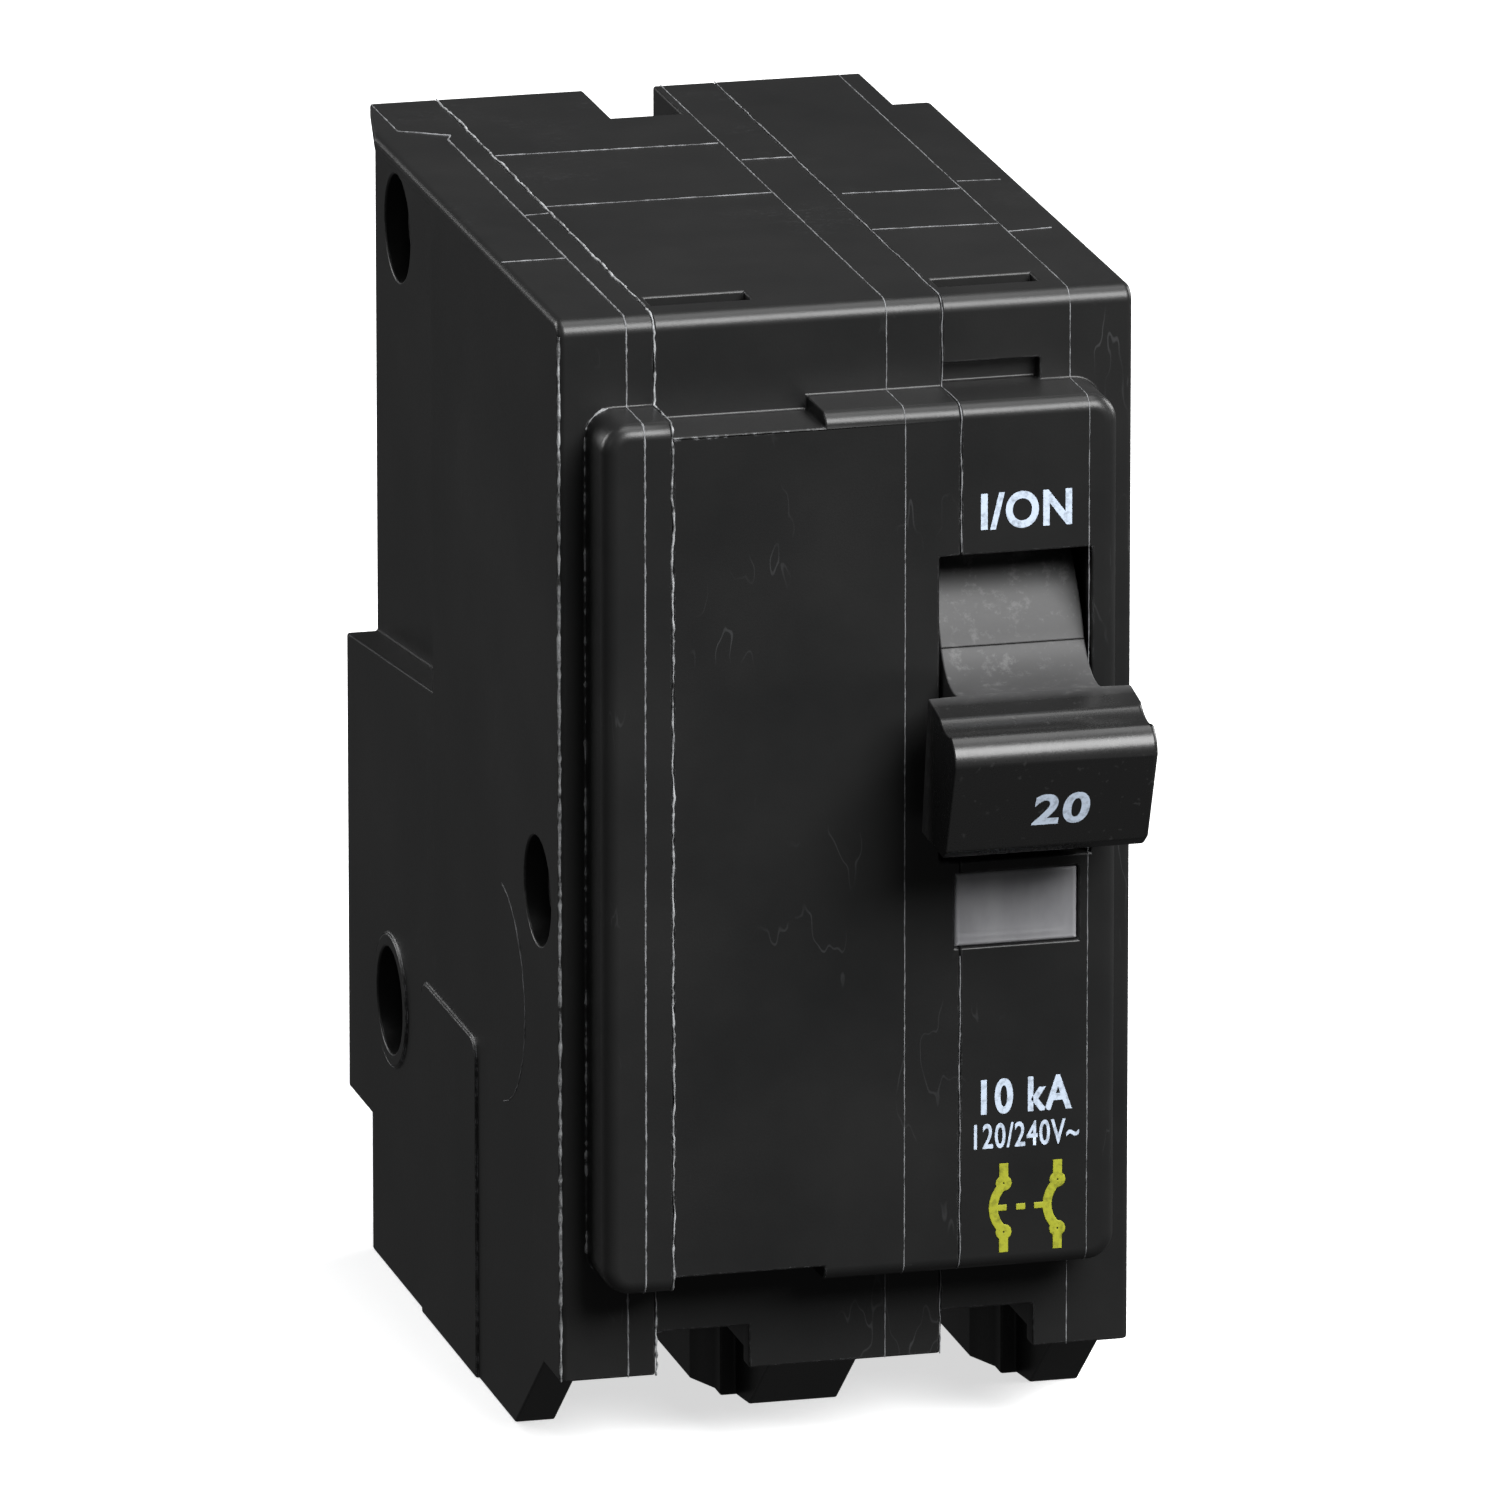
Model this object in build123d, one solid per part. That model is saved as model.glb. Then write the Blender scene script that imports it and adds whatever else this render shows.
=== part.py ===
"""Two-pole plug-on moulded-case circuit breaker, built up as it comes apart on a bench.

Frame: +Z up (line end up, load end down), the front with the handle faces -Y, X across the two poles.
The origin is the centre of the overall box at its base. All sizes are in millimetres.
"""
from build123d import *
from math import cos, pi, radians, sin, sqrt
import os

os.makedirs("parts", exist_ok=True)

# ---------------------------------------------------------------- driving dimensions: the case
POLE_PITCH = 19.05            # one pole space
POLES = 2
COVER_THICK = 6.35            # depth of the left cover moulding
SHELL_HEIGHT = 70.9           # from the underside of the front shoulder to the top
FOOT_DROP = 6.5               # how far the load-end feet stand below the shoulder
SHELL_DEPTH = 58.8            # shoulder face to back face
PLATEAU_PROUD = 4.8           # raised front panel above the shoulder face
HANDLE_PROUD = 10.2           # handle tip above the raised panel
WALL = 1.6                    # general wall of the mouldings

WIDTH = POLE_PITCH * POLES
HEIGHT = SHELL_HEIGHT + FOOT_DROP
DEPTH = SHELL_DEPTH + PLATEAU_PROUD + HANDLE_PROUD
X_LEFT = -WIDTH / 2
X_RIGHT = WIDTH / 2
Y_BACK = DEPTH / 2
Y_SHOULDER = Y_BACK - SHELL_DEPTH
Y_PANEL = Y_SHOULDER - PLATEAU_PROUD
Z_SHOULDER = FOOT_DROP
Z_TOP = HEIGHT
X_COVER_JOINT = X_LEFT + COVER_THICK
X_BASE_JOINT = X_COVER_JOINT + POLE_PITCH

# raised front panel
PANEL_LEFT_INSET = 1.8
PANEL_RIGHT_INSET = 2.2
PANEL_TOP_DROP = 5.9          # below the top of the shell
PANEL_FOOT_RISE = 6.95        # above the underside of the shoulder
PANEL_STEP_TOP = 0.9          # the middle strip stops this much short at the top
PANEL_STEP_FOOT = 1.05
PANEL_STEP_WIDTH = 10.05      # width of that strip, from the cover joint
PANEL_CORNER = 1.8
PANEL_ROUND = 1.0
SHELL_TOP_ROUND = 1.1
SHELL_EDGE_ROUND = 0.5

# back edge recesses
STRIP_RECESS = 2.1            # how far the upper back strip of each pole's left side is set in
STRIP_LENGTH = 24.3           # from the back face
STRIP_FOOT_FRONT = Z_SHOULDER + 37.1   # the recess ends on a sloping ledge
STRIP_FOOT_BACK = Z_SHOULDER + 34.5
STRIP_ROOF = 1.0              # the top plate covers the recess, with its corner cut off
STRIP_CORNER = 8.8            # length of that corner, along the side
STRIP_CORNER_IN = 1.8
NOTCH_WIDTH = 2.7
NOTCH_LENGTH = 8.8
NOTCH_FOOT = STRIP_FOOT_BACK
HEEL_STEP = 6.6               # the lower back edge steps forward
HEEL_HEIGHT = 9.5
RAIL_SLOT_LENGTH = 2.4        # slot in the heel for the lip of the mounting rail
RAIL_SLOT_DEPTH = 4.0
RAIL_SLOT_SIDE = 4.6          # wall left each side of the slot within a pole

# raised pads low on both sides, which space the breaker from its neighbours
PAD_PROUD = 0.2
PAD_FRONT = 0.4
PAD_LENGTH = 15.2
PAD_HEIGHT = 23.1
PAD_CORNER = 1.5
RING_PROUD = 0.2              # raised ring round the load-end rivet
RING_WIDTH = 0.9

# load-end feet and wire channels
FOOT_LEAN_TOP = 4.5           # the feet start this far behind the shoulder face
FOOT_LEAN_RUN = 7.9           # and lean back this much over their drop
CHANNEL_LEFT = 2.7            # channel, from the pole's left side
CHANNEL_RIGHT = 13.4
CHANNEL_MOUTH_RIGHT = 15.75
CHANNEL_BACK = 33.0           # from the shoulder face
CHANNEL_TOP = Z_SHOULDER + 7.0
FUNNEL_START = 18.8           # the mouth flares from here to the front, from the shoulder face
FUNNEL_STEP = 14.6
FUNNEL_STEP_RIGHT = 14.4
ACCESS_LEFT = 6.35            # screwdriver notch in the underside of the shoulder
ACCESS_RIGHT = 12.6
ACCESS_RISE = 2.9

# top vents, one per pole
VENT_LEFT = 6.85
VENT_RIGHT = 13.5
VENT_FRONT = 2.7              # behind the shoulder face
VENT_LENGTH = 2.2

# handle window and indicator window, from the left side of the right pole
OPENING_LEFT = 4.95
OPENING_RIGHT = 15.05
OPENING_FOOT = Z_SHOULDER + 34.6
OPENING_TOP = Z_SHOULDER + 55.0
LENS_LEFT = 6.0
LENS_RIGHT = 14.25
LENS_FOOT = Z_SHOULDER + 28.8
LENS_TOP = Z_SHOULDER + 33.8
LENS_THICK = 1.2
LENS_LEDGE = 0.5
SHADOW_POCKET_WIDTH = 6.5     # scoop in the shoulder above the panel of the right moulding
SHADOW_POCKET_RISE = 1.5
SHADOW_POCKET_DEPTH = 1.2

# ---------------------------------------------------------------- driving dimensions: mechanism
MECH_OFFSET = 10.0            # mechanism centre plane, from each pole's left side
PIVOT_Y = Y_SHOULDER + 7.6    # handle pivot
PIVOT_Z = Z_SHOULDER + 44.7
HANDLE_THROW = 30.0           # off to on, degrees
DRUM_RADIUS = 12.3
DRUM_WIDTH = 9.6
DRUM_START = 100.0            # angles of the drum sector in the off position
DRUM_END = 245.0
PADDLE_WIDTH = 13.5
PADDLE_RIM = 0.35             # rounding of the paddle's right rim
RIM_REACH = 4.0               # behind the handle's tip
HUB_RADIUS = 4.2
HUB_WIDTH = 11.2
SHAFT_RADIUS = 2.0
RUN_GAP = 0.05                # radial clearance of a turning fit
SIDE_GAP = 0.3                # clearance beside a moving piece
PIN_END_GAP = 0.1             # clearance at the ends of a pin

CRANK_LENGTH = 8.0            # handle pivot to contact arm pivot
CRANK_ANGLE = 25.0            # in the off position
CRANK_PLATE = 1.6
CRANK_END = 2.2
ARM_WIDTH = 4.6
ARM_THICK = 2.0
ARM_LENGTH = 17.1
ARM_ANGLE_OFF = 92.5
ARM_RATIO = 0.5               # arm turn on the handle for each degree of the handle
ARM_PIN_RADIUS = 1.0
CONTACT_RADIUS = 1.9
CONTACT_THICK = 1.2
ARM_EYE = 1.7
CONTACT_AT = 15.0             # along the arm, from its pivot
SPRING_AT = 6.0
BRAID_AT = 9.6
BRAID_RADIUS = 0.8
BRAID_SET = 0.27              # from the arm's back face to the start of the braid's axis
CONTACT_GAP = 0.05            # left between the closed contacts

STRAP_THICK = 1.6
STRAP_WIDTH = 6.0
JAW_FRONT = Y_BACK - 18.3
JAW_BACK = Y_BACK - 5.4
JAW_FOOT = Z_SHOULDER + 43.5
JAW_TOP = Z_SHOULDER + 58.0
JAW_MOUTH = 3.0               # length of the flared mouth
JAW_LEAF = 1.2
JAW_GAP = 2.2
JAW_FLARE = 0.9
STAB_SLOT_WIDTH = 4.8
STAB_SLOT_FOOT = JAW_FOOT - 2.5
STAB_SLOT_TOP = JAW_TOP + 2.0
CLIP_THICK = 0.8
CLIP_FRONT = JAW_FRONT + 2.9
CLIP_BACK = JAW_BACK - 4.0
CLIP_DROP = 1.2               # gap under the jaw, across which the clip joins its two leaves

ARC_PLATES = 5
ARC_PLATE_THICK = 0.8
ARC_PLATE_PITCH = 2.5
ARC_PLATE_HALF = 5.2          # half width
ARC_PLATE_FIRST = PIVOT_Y + 15.8
ARC_SHEET_THICK = 0.7
ARC_THROAT = 3.2              # width of the slot in a plate's foot
ARC_THROAT_RISE = 2.5
ARC_FOOT_GAP = 0.1            # plates above the jaw
ARC_SHEET_FOOT = JAW_TOP + 2.0

CRADLE_Y = PIVOT_Y + 24.3
CRADLE_Z = PIVOT_Z - 1.2
CRADLE_HUB = 3.0
CRADLE_PIN_RADIUS = 1.2
CRADLE_THICK = 2.0
CRADLE_LIMB = 3.2
HOOK_LIMB = 2.4
HOOK_RUN = 4.6                # length of the hook's limb, back from its tip
LATCH_Y = PIVOT_Y + 17.3
LATCH_Z = PIVOT_Z - 20.6
LATCH_RADIUS = 1.2
LATCH_CUT = 0.5               # flat under the latch nose
HOOK_Y = PIVOT_Y + 16.5
HOOK_Z = PIVOT_Z - 8.2

SPRING_WIRE = 0.7
SPRING_RADIUS = 1.1           # mean radius of the toggle spring's coils
SPRING_HOOK_FRONT = 7.6       # from the hole in the arm to the first coil
SPRING_HOOK_BACK = 3.2
SPRING_CLEAR_FRONT = 3.5      # the hook's shank starts this far from the arm's hole
SPRING_CLEAR_BACK = 1.4
HOOK_RADIUS = 0.4

ARMATURE_Y = PIVOT_Y + 17.5
ARMATURE_Z = PIVOT_Z - 30.7
ARMATURE_TOP = LATCH_Z - LATCH_RADIUS - 0.2
ARMATURE_THICK = 1.2
ARMATURE_WIDTH = 9.0
ARMATURE_PIN_RADIUS = 0.7
ARMATURE_EYE = 1.3
YOKE_FRONT = ARMATURE_Y + 2.4
YOKE_BACK = YOKE_FRONT + 4.6
YOKE_FOOT = ARMATURE_Z + 1.3
YOKE_TOP = YOKE_FOOT + 6.8
YOKE_THICK = 1.2
YOKE_WIDTH = 11.0
CALIBRATION_RADIUS = 1.2
CALIBRATION_TAIL = 2.6        # screw end behind the yoke
CALIBRATION_SLOT = 0.6        # depth of its driver slot
BIMETAL_THICK = 0.8
BIMETAL_WIDTH = 5.0
BIMETAL_TOP = LATCH_Z + 3.4
EAR_REACH = 4.6               # ear of the bimetal, to which the braid is welded
EAR_HEIGHT = 4.0

TERMINAL_OFFSET = 9.4         # terminal screw axis, from the pole's left side
TERMINAL_Z = Z_SHOULDER - 0.2
STRAP_FACE_Y = ARMATURE_Y + 2.3        # front face of the load strap
WIRE_GAP = 4.6                # clamp opening with the screw backed out
PLATE_THICK = 1.2
PLATE_WIDTH = 6.4
PLATE_HEIGHT = 7.8
PLATE_CORNER = 0.6
SCREW_RADIUS = 2.4
SCREW_HEAD_RADIUS = 3.2
SCREW_HEAD_THICK = 2.4
SCREW_GAP = 0.05
SCREW_HEAD_ROUND = 0.5
DRIVER_DEPTH = 1.2            # combined slot and cross in the head
DRIVER_WIDTH = 1.0
CROSS_LENGTH = 3.8
SCREW_TRAVEL = 3.6            # tightening travel
SCREW_TIP_GAP = 0.3           # left behind the tip of a tightened screw

TRIP_BAR_Y = PIVOT_Y + 10.8
TRIP_BAR_Z = ARMATURE_Z + 3.5
TRIP_BAR_RADIUS = 2.0
TRIP_BAR_END = 1.5
FINGER_HEIGHT = 9.4
FINGER_THICK = 1.4
FINGER_WIDTH = 6.0
FINGER_SET = -0.2             # its front face, from the bar's axis
BAR_GAP = 0.2                 # between the bar's thick part and a wall
BAR_SPRING_AT = 5.2           # right of the mechanism centre
BAR_SPRING_WIRE = 0.5
BAR_SPRING_TURNS = 4
BAR_SPRING_GAP = 0.35

FLAG_THICK = 0.8
FLAG_LIFT = 5.9
FLAG_MARGIN = 0.3             # the flag overlaps the lens opening by this much
ROCKER_Y = PIVOT_Y + 6.6
ROCKER_Z = LENS_FOOT - 1.3
ROCKER_TAIL = (TRIP_BAR_Y - 1.4, TRIP_BAR_Z + 5.4)
TAIL_RADIUS = 0.5
PEG_SET = 3.7                 # peg behind the flag's front face
ROCKER_THICK = 1.4
ROCKER_OFFSET = 2.4           # its plate starts this far right of the mechanism centre
ROCKER_PIN_RADIUS = 0.8
PEG_RADIUS = 0.6
FORK_WIDTH = 2.0              # fork on the flag's foot, in which the peg runs
FORK_HALF = 1.7
ROCKER_LIMB = 1.4
ROCKER_HUB = 1.6
PEG_END_RADIUS = 0.7

RIVET_SHANK = 1.5
RIVET_HEAD = 2.7
RIVET_BORE = 3.6              # counterbore radius
RIVET_SINK = 1.5              # head thickness
RIVET_RECESS = 1.4            # head set below the surface
CUP_WALL = 1.1                # moulding left round and behind a counterbore
BOSS_RADIUS = 2.7
RIVETS = {"line": (Y_BACK - 6.3, Z_TOP - 7.0), "load": (Y_BACK - 12.6, Z_SHOULDER + 12.6),
          "front": (Y_SHOULDER + 5.9, Z_SHOULDER + 31.5)}

PIVOT = (PIVOT_Y, PIVOT_Z)


# ---------------------------------------------------------------- helpers
def block(x0, x1, y0, y1, z0, z1):
    """A box between two corners."""
    return Pos((x0 + x1) / 2, (y0 + y1) / 2, (z0 + z1) / 2) * Box(x1 - x0, y1 - y0, z1 - z0)


def rod_x(radius, y, z, x0, x1):
    """A cylinder along X."""
    return Pos((x0 + x1) / 2, y, z) * Rot(0, 90, 0) * Cylinder(radius, x1 - x0)


def rod_y(radius, x, z, y0, y1):
    """A cylinder along Y."""
    return Pos(x, (y0 + y1) / 2, z) * Rot(90, 0, 0) * Cylinder(radius, y1 - y0)


def slab(points, x0, x1):
    """An outline in the Y-Z plane, drawn out along X."""
    outline = Polyline(*[(x0, y, z) for y, z in points], close=True)
    return extrude(make_face(outline), amount=x1 - x0, dir=(1, 0, 0))


def plan(points, z0, z1):
    """An outline in the X-Y plane, drawn out along Z."""
    outline = Polyline(*[(x, y, z0) for x, y in points], close=True)
    return extrude(make_face(outline), amount=z1 - z0, dir=(0, 0, 1))


def polar(centre, radius, angle):
    """A point of the Y-Z plane; angles run from +Y towards +Z."""
    return (centre[0] + radius * cos(radians(angle)), centre[1] + radius * sin(radians(angle)))


def bar(start, end, thick, x0, x1, ends=0.0):
    """A straight flat bar between two points of the Y-Z plane, thick across its line."""
    dy, dz = end[0] - start[0], end[1] - start[1]
    length = sqrt(dy * dy + dz * dz)
    uy, uz = dy / length, dz / length
    half = thick / 2
    near = (start[0] - uy * ends, start[1] - uz * ends)
    far = (end[0] + uy * ends, end[1] + uz * ends)
    return slab([(near[0] - uz * half, near[1] + uy * half), (far[0] - uz * half, far[1] + uy * half),
                 (far[0] + uz * half, far[1] - uy * half), (near[0] + uz * half, near[1] - uy * half)],
                x0, x1)


def pole_left(pole):
    """The left side of a pole space."""
    return X_LEFT + pole * POLE_PITCH


def mech_x(pole):
    """The centre plane of a pole's mechanism."""
    return pole_left(pole) + MECH_OFFSET


def whole(shape):
    """The one solid of a shape that has just one."""
    return shape.solids()[0] if len(shape.solids()) == 1 else shape


NODES = {}


def keep(name, shape):
    """Names a finished piece."""
    NODES[name] = whole(shape)


# ---------------------------------------------------------------- case mouldings
def shell_outline():
    """The outer form of the three mouldings together."""
    body = block(X_LEFT, X_RIGHT, Y_SHOULDER, Y_BACK, Z_SHOULDER, Z_TOP)
    front_top = body.edges().filter_by(Axis.X).group_by(Axis.Y)[0].sort_by(Axis.Z)[-1]
    body = fillet(front_top, SHELL_TOP_ROUND)
    front_sides = body.edges().filter_by(Axis.Z).group_by(Axis.Y)[0]
    body = fillet(front_sides, SHELL_EDGE_ROUND)
    feet = slab([(Y_SHOULDER + FOOT_LEAN_TOP, Z_SHOULDER), (Y_SHOULDER + FOOT_LEAN_TOP + FOOT_LEAN_RUN, 0),
                 (Y_BACK - HEEL_STEP, 0), (Y_BACK - HEEL_STEP, HEEL_HEIGHT),
                 (Y_SHOULDER + FOOT_LEAN_TOP, HEEL_HEIGHT)], X_LEFT, X_RIGHT)
    body = body - block(X_LEFT - 1, X_RIGHT + 1, Y_BACK - HEEL_STEP, Y_BACK + 1, -1, HEEL_HEIGHT)
    panel = block(X_LEFT + PANEL_LEFT_INSET, X_RIGHT - PANEL_RIGHT_INSET, Y_PANEL, Y_SHOULDER + WALL,
                  Z_SHOULDER + PANEL_FOOT_RISE, Z_TOP - PANEL_TOP_DROP)
    panel = fillet(panel.edges().filter_by(Axis.Y), PANEL_CORNER)
    panel = fillet(panel.faces().sort_by(Axis.Y)[0].edges(), PANEL_ROUND)
    strip = (X_COVER_JOINT, X_COVER_JOINT + PANEL_STEP_WIDTH, Y_PANEL - 1, Y_SHOULDER)
    panel = panel - block(*strip, Z_TOP - PANEL_TOP_DROP - PANEL_STEP_TOP, Z_TOP)
    panel = panel - block(*strip, 0, Z_SHOULDER + PANEL_FOOT_RISE + PANEL_STEP_FOOT)
    return body + feet + panel


def back_recesses(pole):
    """The set-in strip on a pole's left side and the notch on its right, at the upper back."""
    left = pole_left(pole)
    right = left + POLE_PITCH
    notch_front = Y_BACK - NOTCH_LENGTH + (1 if pole == 0 else 0)
    if pole == 0:
        front, roof = Y_BACK - STRIP_LENGTH, Z_TOP - STRIP_ROOF
        strip = slab([(front, STRIP_FOOT_FRONT), (Y_BACK + 1, STRIP_FOOT_BACK), (Y_BACK + 1, roof),
                      (front, roof)], left - 1, left + STRIP_RECESS)
        strip += plan([(left - 1, Y_BACK - STRIP_CORNER), (left, Y_BACK - STRIP_CORNER),
                       (left + STRIP_CORNER_IN, Y_BACK), (left + STRIP_CORNER_IN, Y_BACK + 1),
                       (left - 1, Y_BACK + 1)], roof - 1, Z_TOP + 1)
    else:
        strip = block(left, left + STRIP_RECESS, Y_BACK - NOTCH_LENGTH + 1, Y_BACK + 1, NOTCH_FOOT, Z_TOP + 1)
    notch = block(right - NOTCH_WIDTH, right + (1 if pole == POLES - 1 else 0),
                  notch_front, Y_BACK + 1, NOTCH_FOOT, Z_TOP + 1)
    return strip + notch


def wire_channel(pole):
    """The open channel at the load end, with its flared mouth and the screwdriver notch."""
    left = pole_left(pole)
    y_start = Y_SHOULDER + FUNNEL_START
    y_step = Y_SHOULDER + FUNNEL_STEP
    y_lip = Y_SHOULDER + FOOT_LEAN_TOP - 1
    channel = plan([(left + CHANNEL_LEFT, y_lip), (left + CHANNEL_MOUTH_RIGHT, y_lip),
                    (left + CHANNEL_MOUTH_RIGHT, Y_SHOULDER + FOOT_LEAN_TOP + FOOT_LEAN_RUN),
                    (left + CHANNEL_MOUTH_RIGHT - 0.3, y_step), (left + FUNNEL_STEP_RIGHT, y_step),
                    (left + FUNNEL_STEP_RIGHT, y_step + 1.6), (left + CHANNEL_RIGHT, y_start),
                    (left + CHANNEL_RIGHT, Y_SHOULDER + CHANNEL_BACK),
                    (left + CHANNEL_LEFT, Y_SHOULDER + CHANNEL_BACK)], -1, Z_SHOULDER)
    room = block(left + CHANNEL_LEFT, left + CHANNEL_RIGHT, Y_SHOULDER + WALL, Y_SHOULDER + CHANNEL_BACK,
                 Z_SHOULDER - 0.5, CHANNEL_TOP)
    access = block(left + ACCESS_LEFT, left + ACCESS_RIGHT, Y_SHOULDER - 1, Y_SHOULDER + 6,
                   Z_SHOULDER - 1, Z_SHOULDER + ACCESS_RISE)
    return channel + room + access


def mechanism_room(pole):
    """The closed hollow that holds one pole's mechanism."""
    left, right = pole_left(pole) + WALL, pole_left(pole) + POLE_PITCH - WALL
    floor = CHANNEL_TOP + WALL
    front = Y_SHOULDER + WALL
    set_in = pole_left(pole) + STRIP_RECESS + WALL
    strip_y = Y_BACK - STRIP_LENGTH - WALL
    notch_y = Y_BACK - NOTCH_LENGTH - WALL
    low = STRIP_FOOT_BACK - WALL
    room = block(left, right, front, strip_y, floor, Z_TOP - WALL)
    room += block(left, right, strip_y, Y_BACK - WALL, floor, low)
    room += block(set_in, right, strip_y, notch_y, low, Z_TOP - WALL)
    room += block(set_in, right - NOTCH_WIDTH, notch_y, Y_BACK - WALL, low, Z_TOP - WALL)
    room += block(left, right, Y_SHOULDER + CHANNEL_BACK + WALL, Y_BACK - HEEL_STEP - WALL, WALL + 0.6, floor)
    panel_left = max(left, X_LEFT + PANEL_LEFT_INSET + WALL)
    panel_right = min(right, X_RIGHT - PANEL_RIGHT_INSET - WALL)
    room += block(panel_left, panel_right, Y_PANEL + WALL, front,
                  Z_SHOULDER + PANEL_FOOT_RISE + PANEL_STEP_FOOT + WALL,
                  Z_TOP - PANEL_TOP_DROP - PANEL_STEP_TOP - WALL)
    return room


def openings(pole):
    """Vent, stab slot, rail slot and strap slot of one pole."""
    left = pole_left(pole)
    middle = mech_x(pole)
    cuts = block(left + VENT_LEFT, left + VENT_RIGHT, Y_SHOULDER + VENT_FRONT,
                 Y_SHOULDER + VENT_FRONT + VENT_LENGTH, Z_TOP - WALL - 1, Z_TOP + 1)
    cuts += block(middle - STAB_SLOT_WIDTH / 2, middle + STAB_SLOT_WIDTH / 2, Y_BACK - WALL - 1, Y_BACK + 1,
                  STAB_SLOT_FOOT, STAB_SLOT_TOP)
    cuts += block(left + RAIL_SLOT_SIDE, left + POLE_PITCH - RAIL_SLOT_SIDE,
                  Y_BACK - WALL - RAIL_SLOT_LENGTH, Y_BACK - WALL, HEEL_HEIGHT - 1, HEEL_HEIGHT + RAIL_SLOT_DEPTH)
    strap_x = left + TERMINAL_OFFSET
    cuts += block(strap_x - STRAP_WIDTH / 2 - 0.2, strap_x + STRAP_WIDTH / 2 + 0.2, STRAP_FACE_Y - 0.2,
                  STRAP_FACE_Y + STRAP_THICK + 0.2, CHANNEL_TOP - 1, CHANNEL_TOP + WALL + 1)
    return cuts


def rail_pocket(pole):
    """Solid round the rail slot, so that the slot is closed off from the mechanism."""
    left = pole_left(pole)
    return block(left + RAIL_SLOT_SIDE - WALL, left + POLE_PITCH - RAIL_SLOT_SIDE + WALL,
                 Y_BACK - 2 * WALL - RAIL_SLOT_LENGTH, Y_BACK - WALL / 2,
                 HEEL_HEIGHT, HEEL_HEIGHT + RAIL_SLOT_DEPTH + WALL)


def rivet_seats(name):
    """The two shoulders that a rivet's heads bear on."""
    sink = RIVET_SINK + RIVET_RECESS
    left = X_LEFT + (STRIP_RECESS if name == "line" else 0) + sink
    right = X_RIGHT - (NOTCH_WIDTH if name == "line" else 0) - sink
    return left, right


def rivet_bosses():
    """Round posts that carry the rivets through both poles."""
    posts = []
    for name, (y, z) in RIVETS.items():
        seat, end = rivet_seats(name)
        posts.append(rod_x(BOSS_RADIUS, y, z, seat + CUP_WALL / 2, end - CUP_WALL / 2))
    return posts[0] + posts[1] + posts[2]


def rivet_holes():
    """Through holes and counterbores for the rivets."""
    cuts = []
    for name, (y, z) in RIVETS.items():
        seat, end = rivet_seats(name)
        cuts.append(rod_x(RIVET_SHANK + RUN_GAP, y, z, X_LEFT, X_RIGHT))
        cuts.append(rod_x(RIVET_BORE, y, z, X_LEFT - 1, seat))
        cuts.append(rod_x(RIVET_BORE, y, z, end, X_RIGHT + 1))
    return cuts


def rivet_cups():
    """Solid cups behind the counterbores, where the walls alone are thinner than the sink."""
    cups = []
    for name, (y, z) in RIVETS.items():
        inset = STRIP_RECESS if name == "line" else 0
        notch = NOTCH_WIDTH if name == "line" else 0
        radius = RIVET_BORE + CUP_WALL
        depth = RIVET_SINK + RIVET_RECESS + CUP_WALL
        cups.append(rod_x(radius, y, z, X_LEFT + inset + WALL / 2, X_LEFT + inset + depth))
        cups.append(rod_x(radius, y, z, X_RIGHT - notch - depth, X_RIGHT - notch - WALL / 2))
    return cups


def side_pads():
    """Raised pads and rivet rings on both outer sides."""
    pads = []
    for x0, x1 in ((X_LEFT - PAD_PROUD, X_LEFT + WALL / 2), (X_RIGHT - WALL / 2, X_RIGHT + PAD_PROUD)):
        pad = block(x0, x1, PAD_FRONT, PAD_FRONT + PAD_LENGTH, 0, PAD_HEIGHT)
        pads.append(fillet(pad.edges().filter_by(Axis.X).group_by(Axis.Z)[-1], PAD_CORNER))
    y, z = RIVETS["load"]
    radius = RIVET_BORE + RING_WIDTH
    pads.append(rod_x(radius, y, z, X_LEFT - RING_PROUD, X_LEFT + WALL / 2))
    pads.append(rod_x(radius, y, z, X_RIGHT - WALL / 2, X_RIGHT + RING_PROUD))
    return pads


def flag_rails():
    """Two ribs inside the front panel that guide the trip flag."""
    right_pole = pole_left(POLES - 1)
    ribs = None
    for x in (right_pole + LENS_LEFT - SIDE_GAP - 0.6, right_pole + LENS_RIGHT + SIDE_GAP):
        rib = block(x, x + 0.6, Y_PANEL + WALL / 2, flag_front() + FLAG_THICK + 0.4,
                    LENS_FOOT - FLAG_LIFT - 9, LENS_TOP + 0.6)
        ribs = rib if ribs is None else ribs + rib
    return ribs


def flag_front():
    """The front face of the trip flag, just behind the lens."""
    return Y_PANEL + WALL + 0.6


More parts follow.
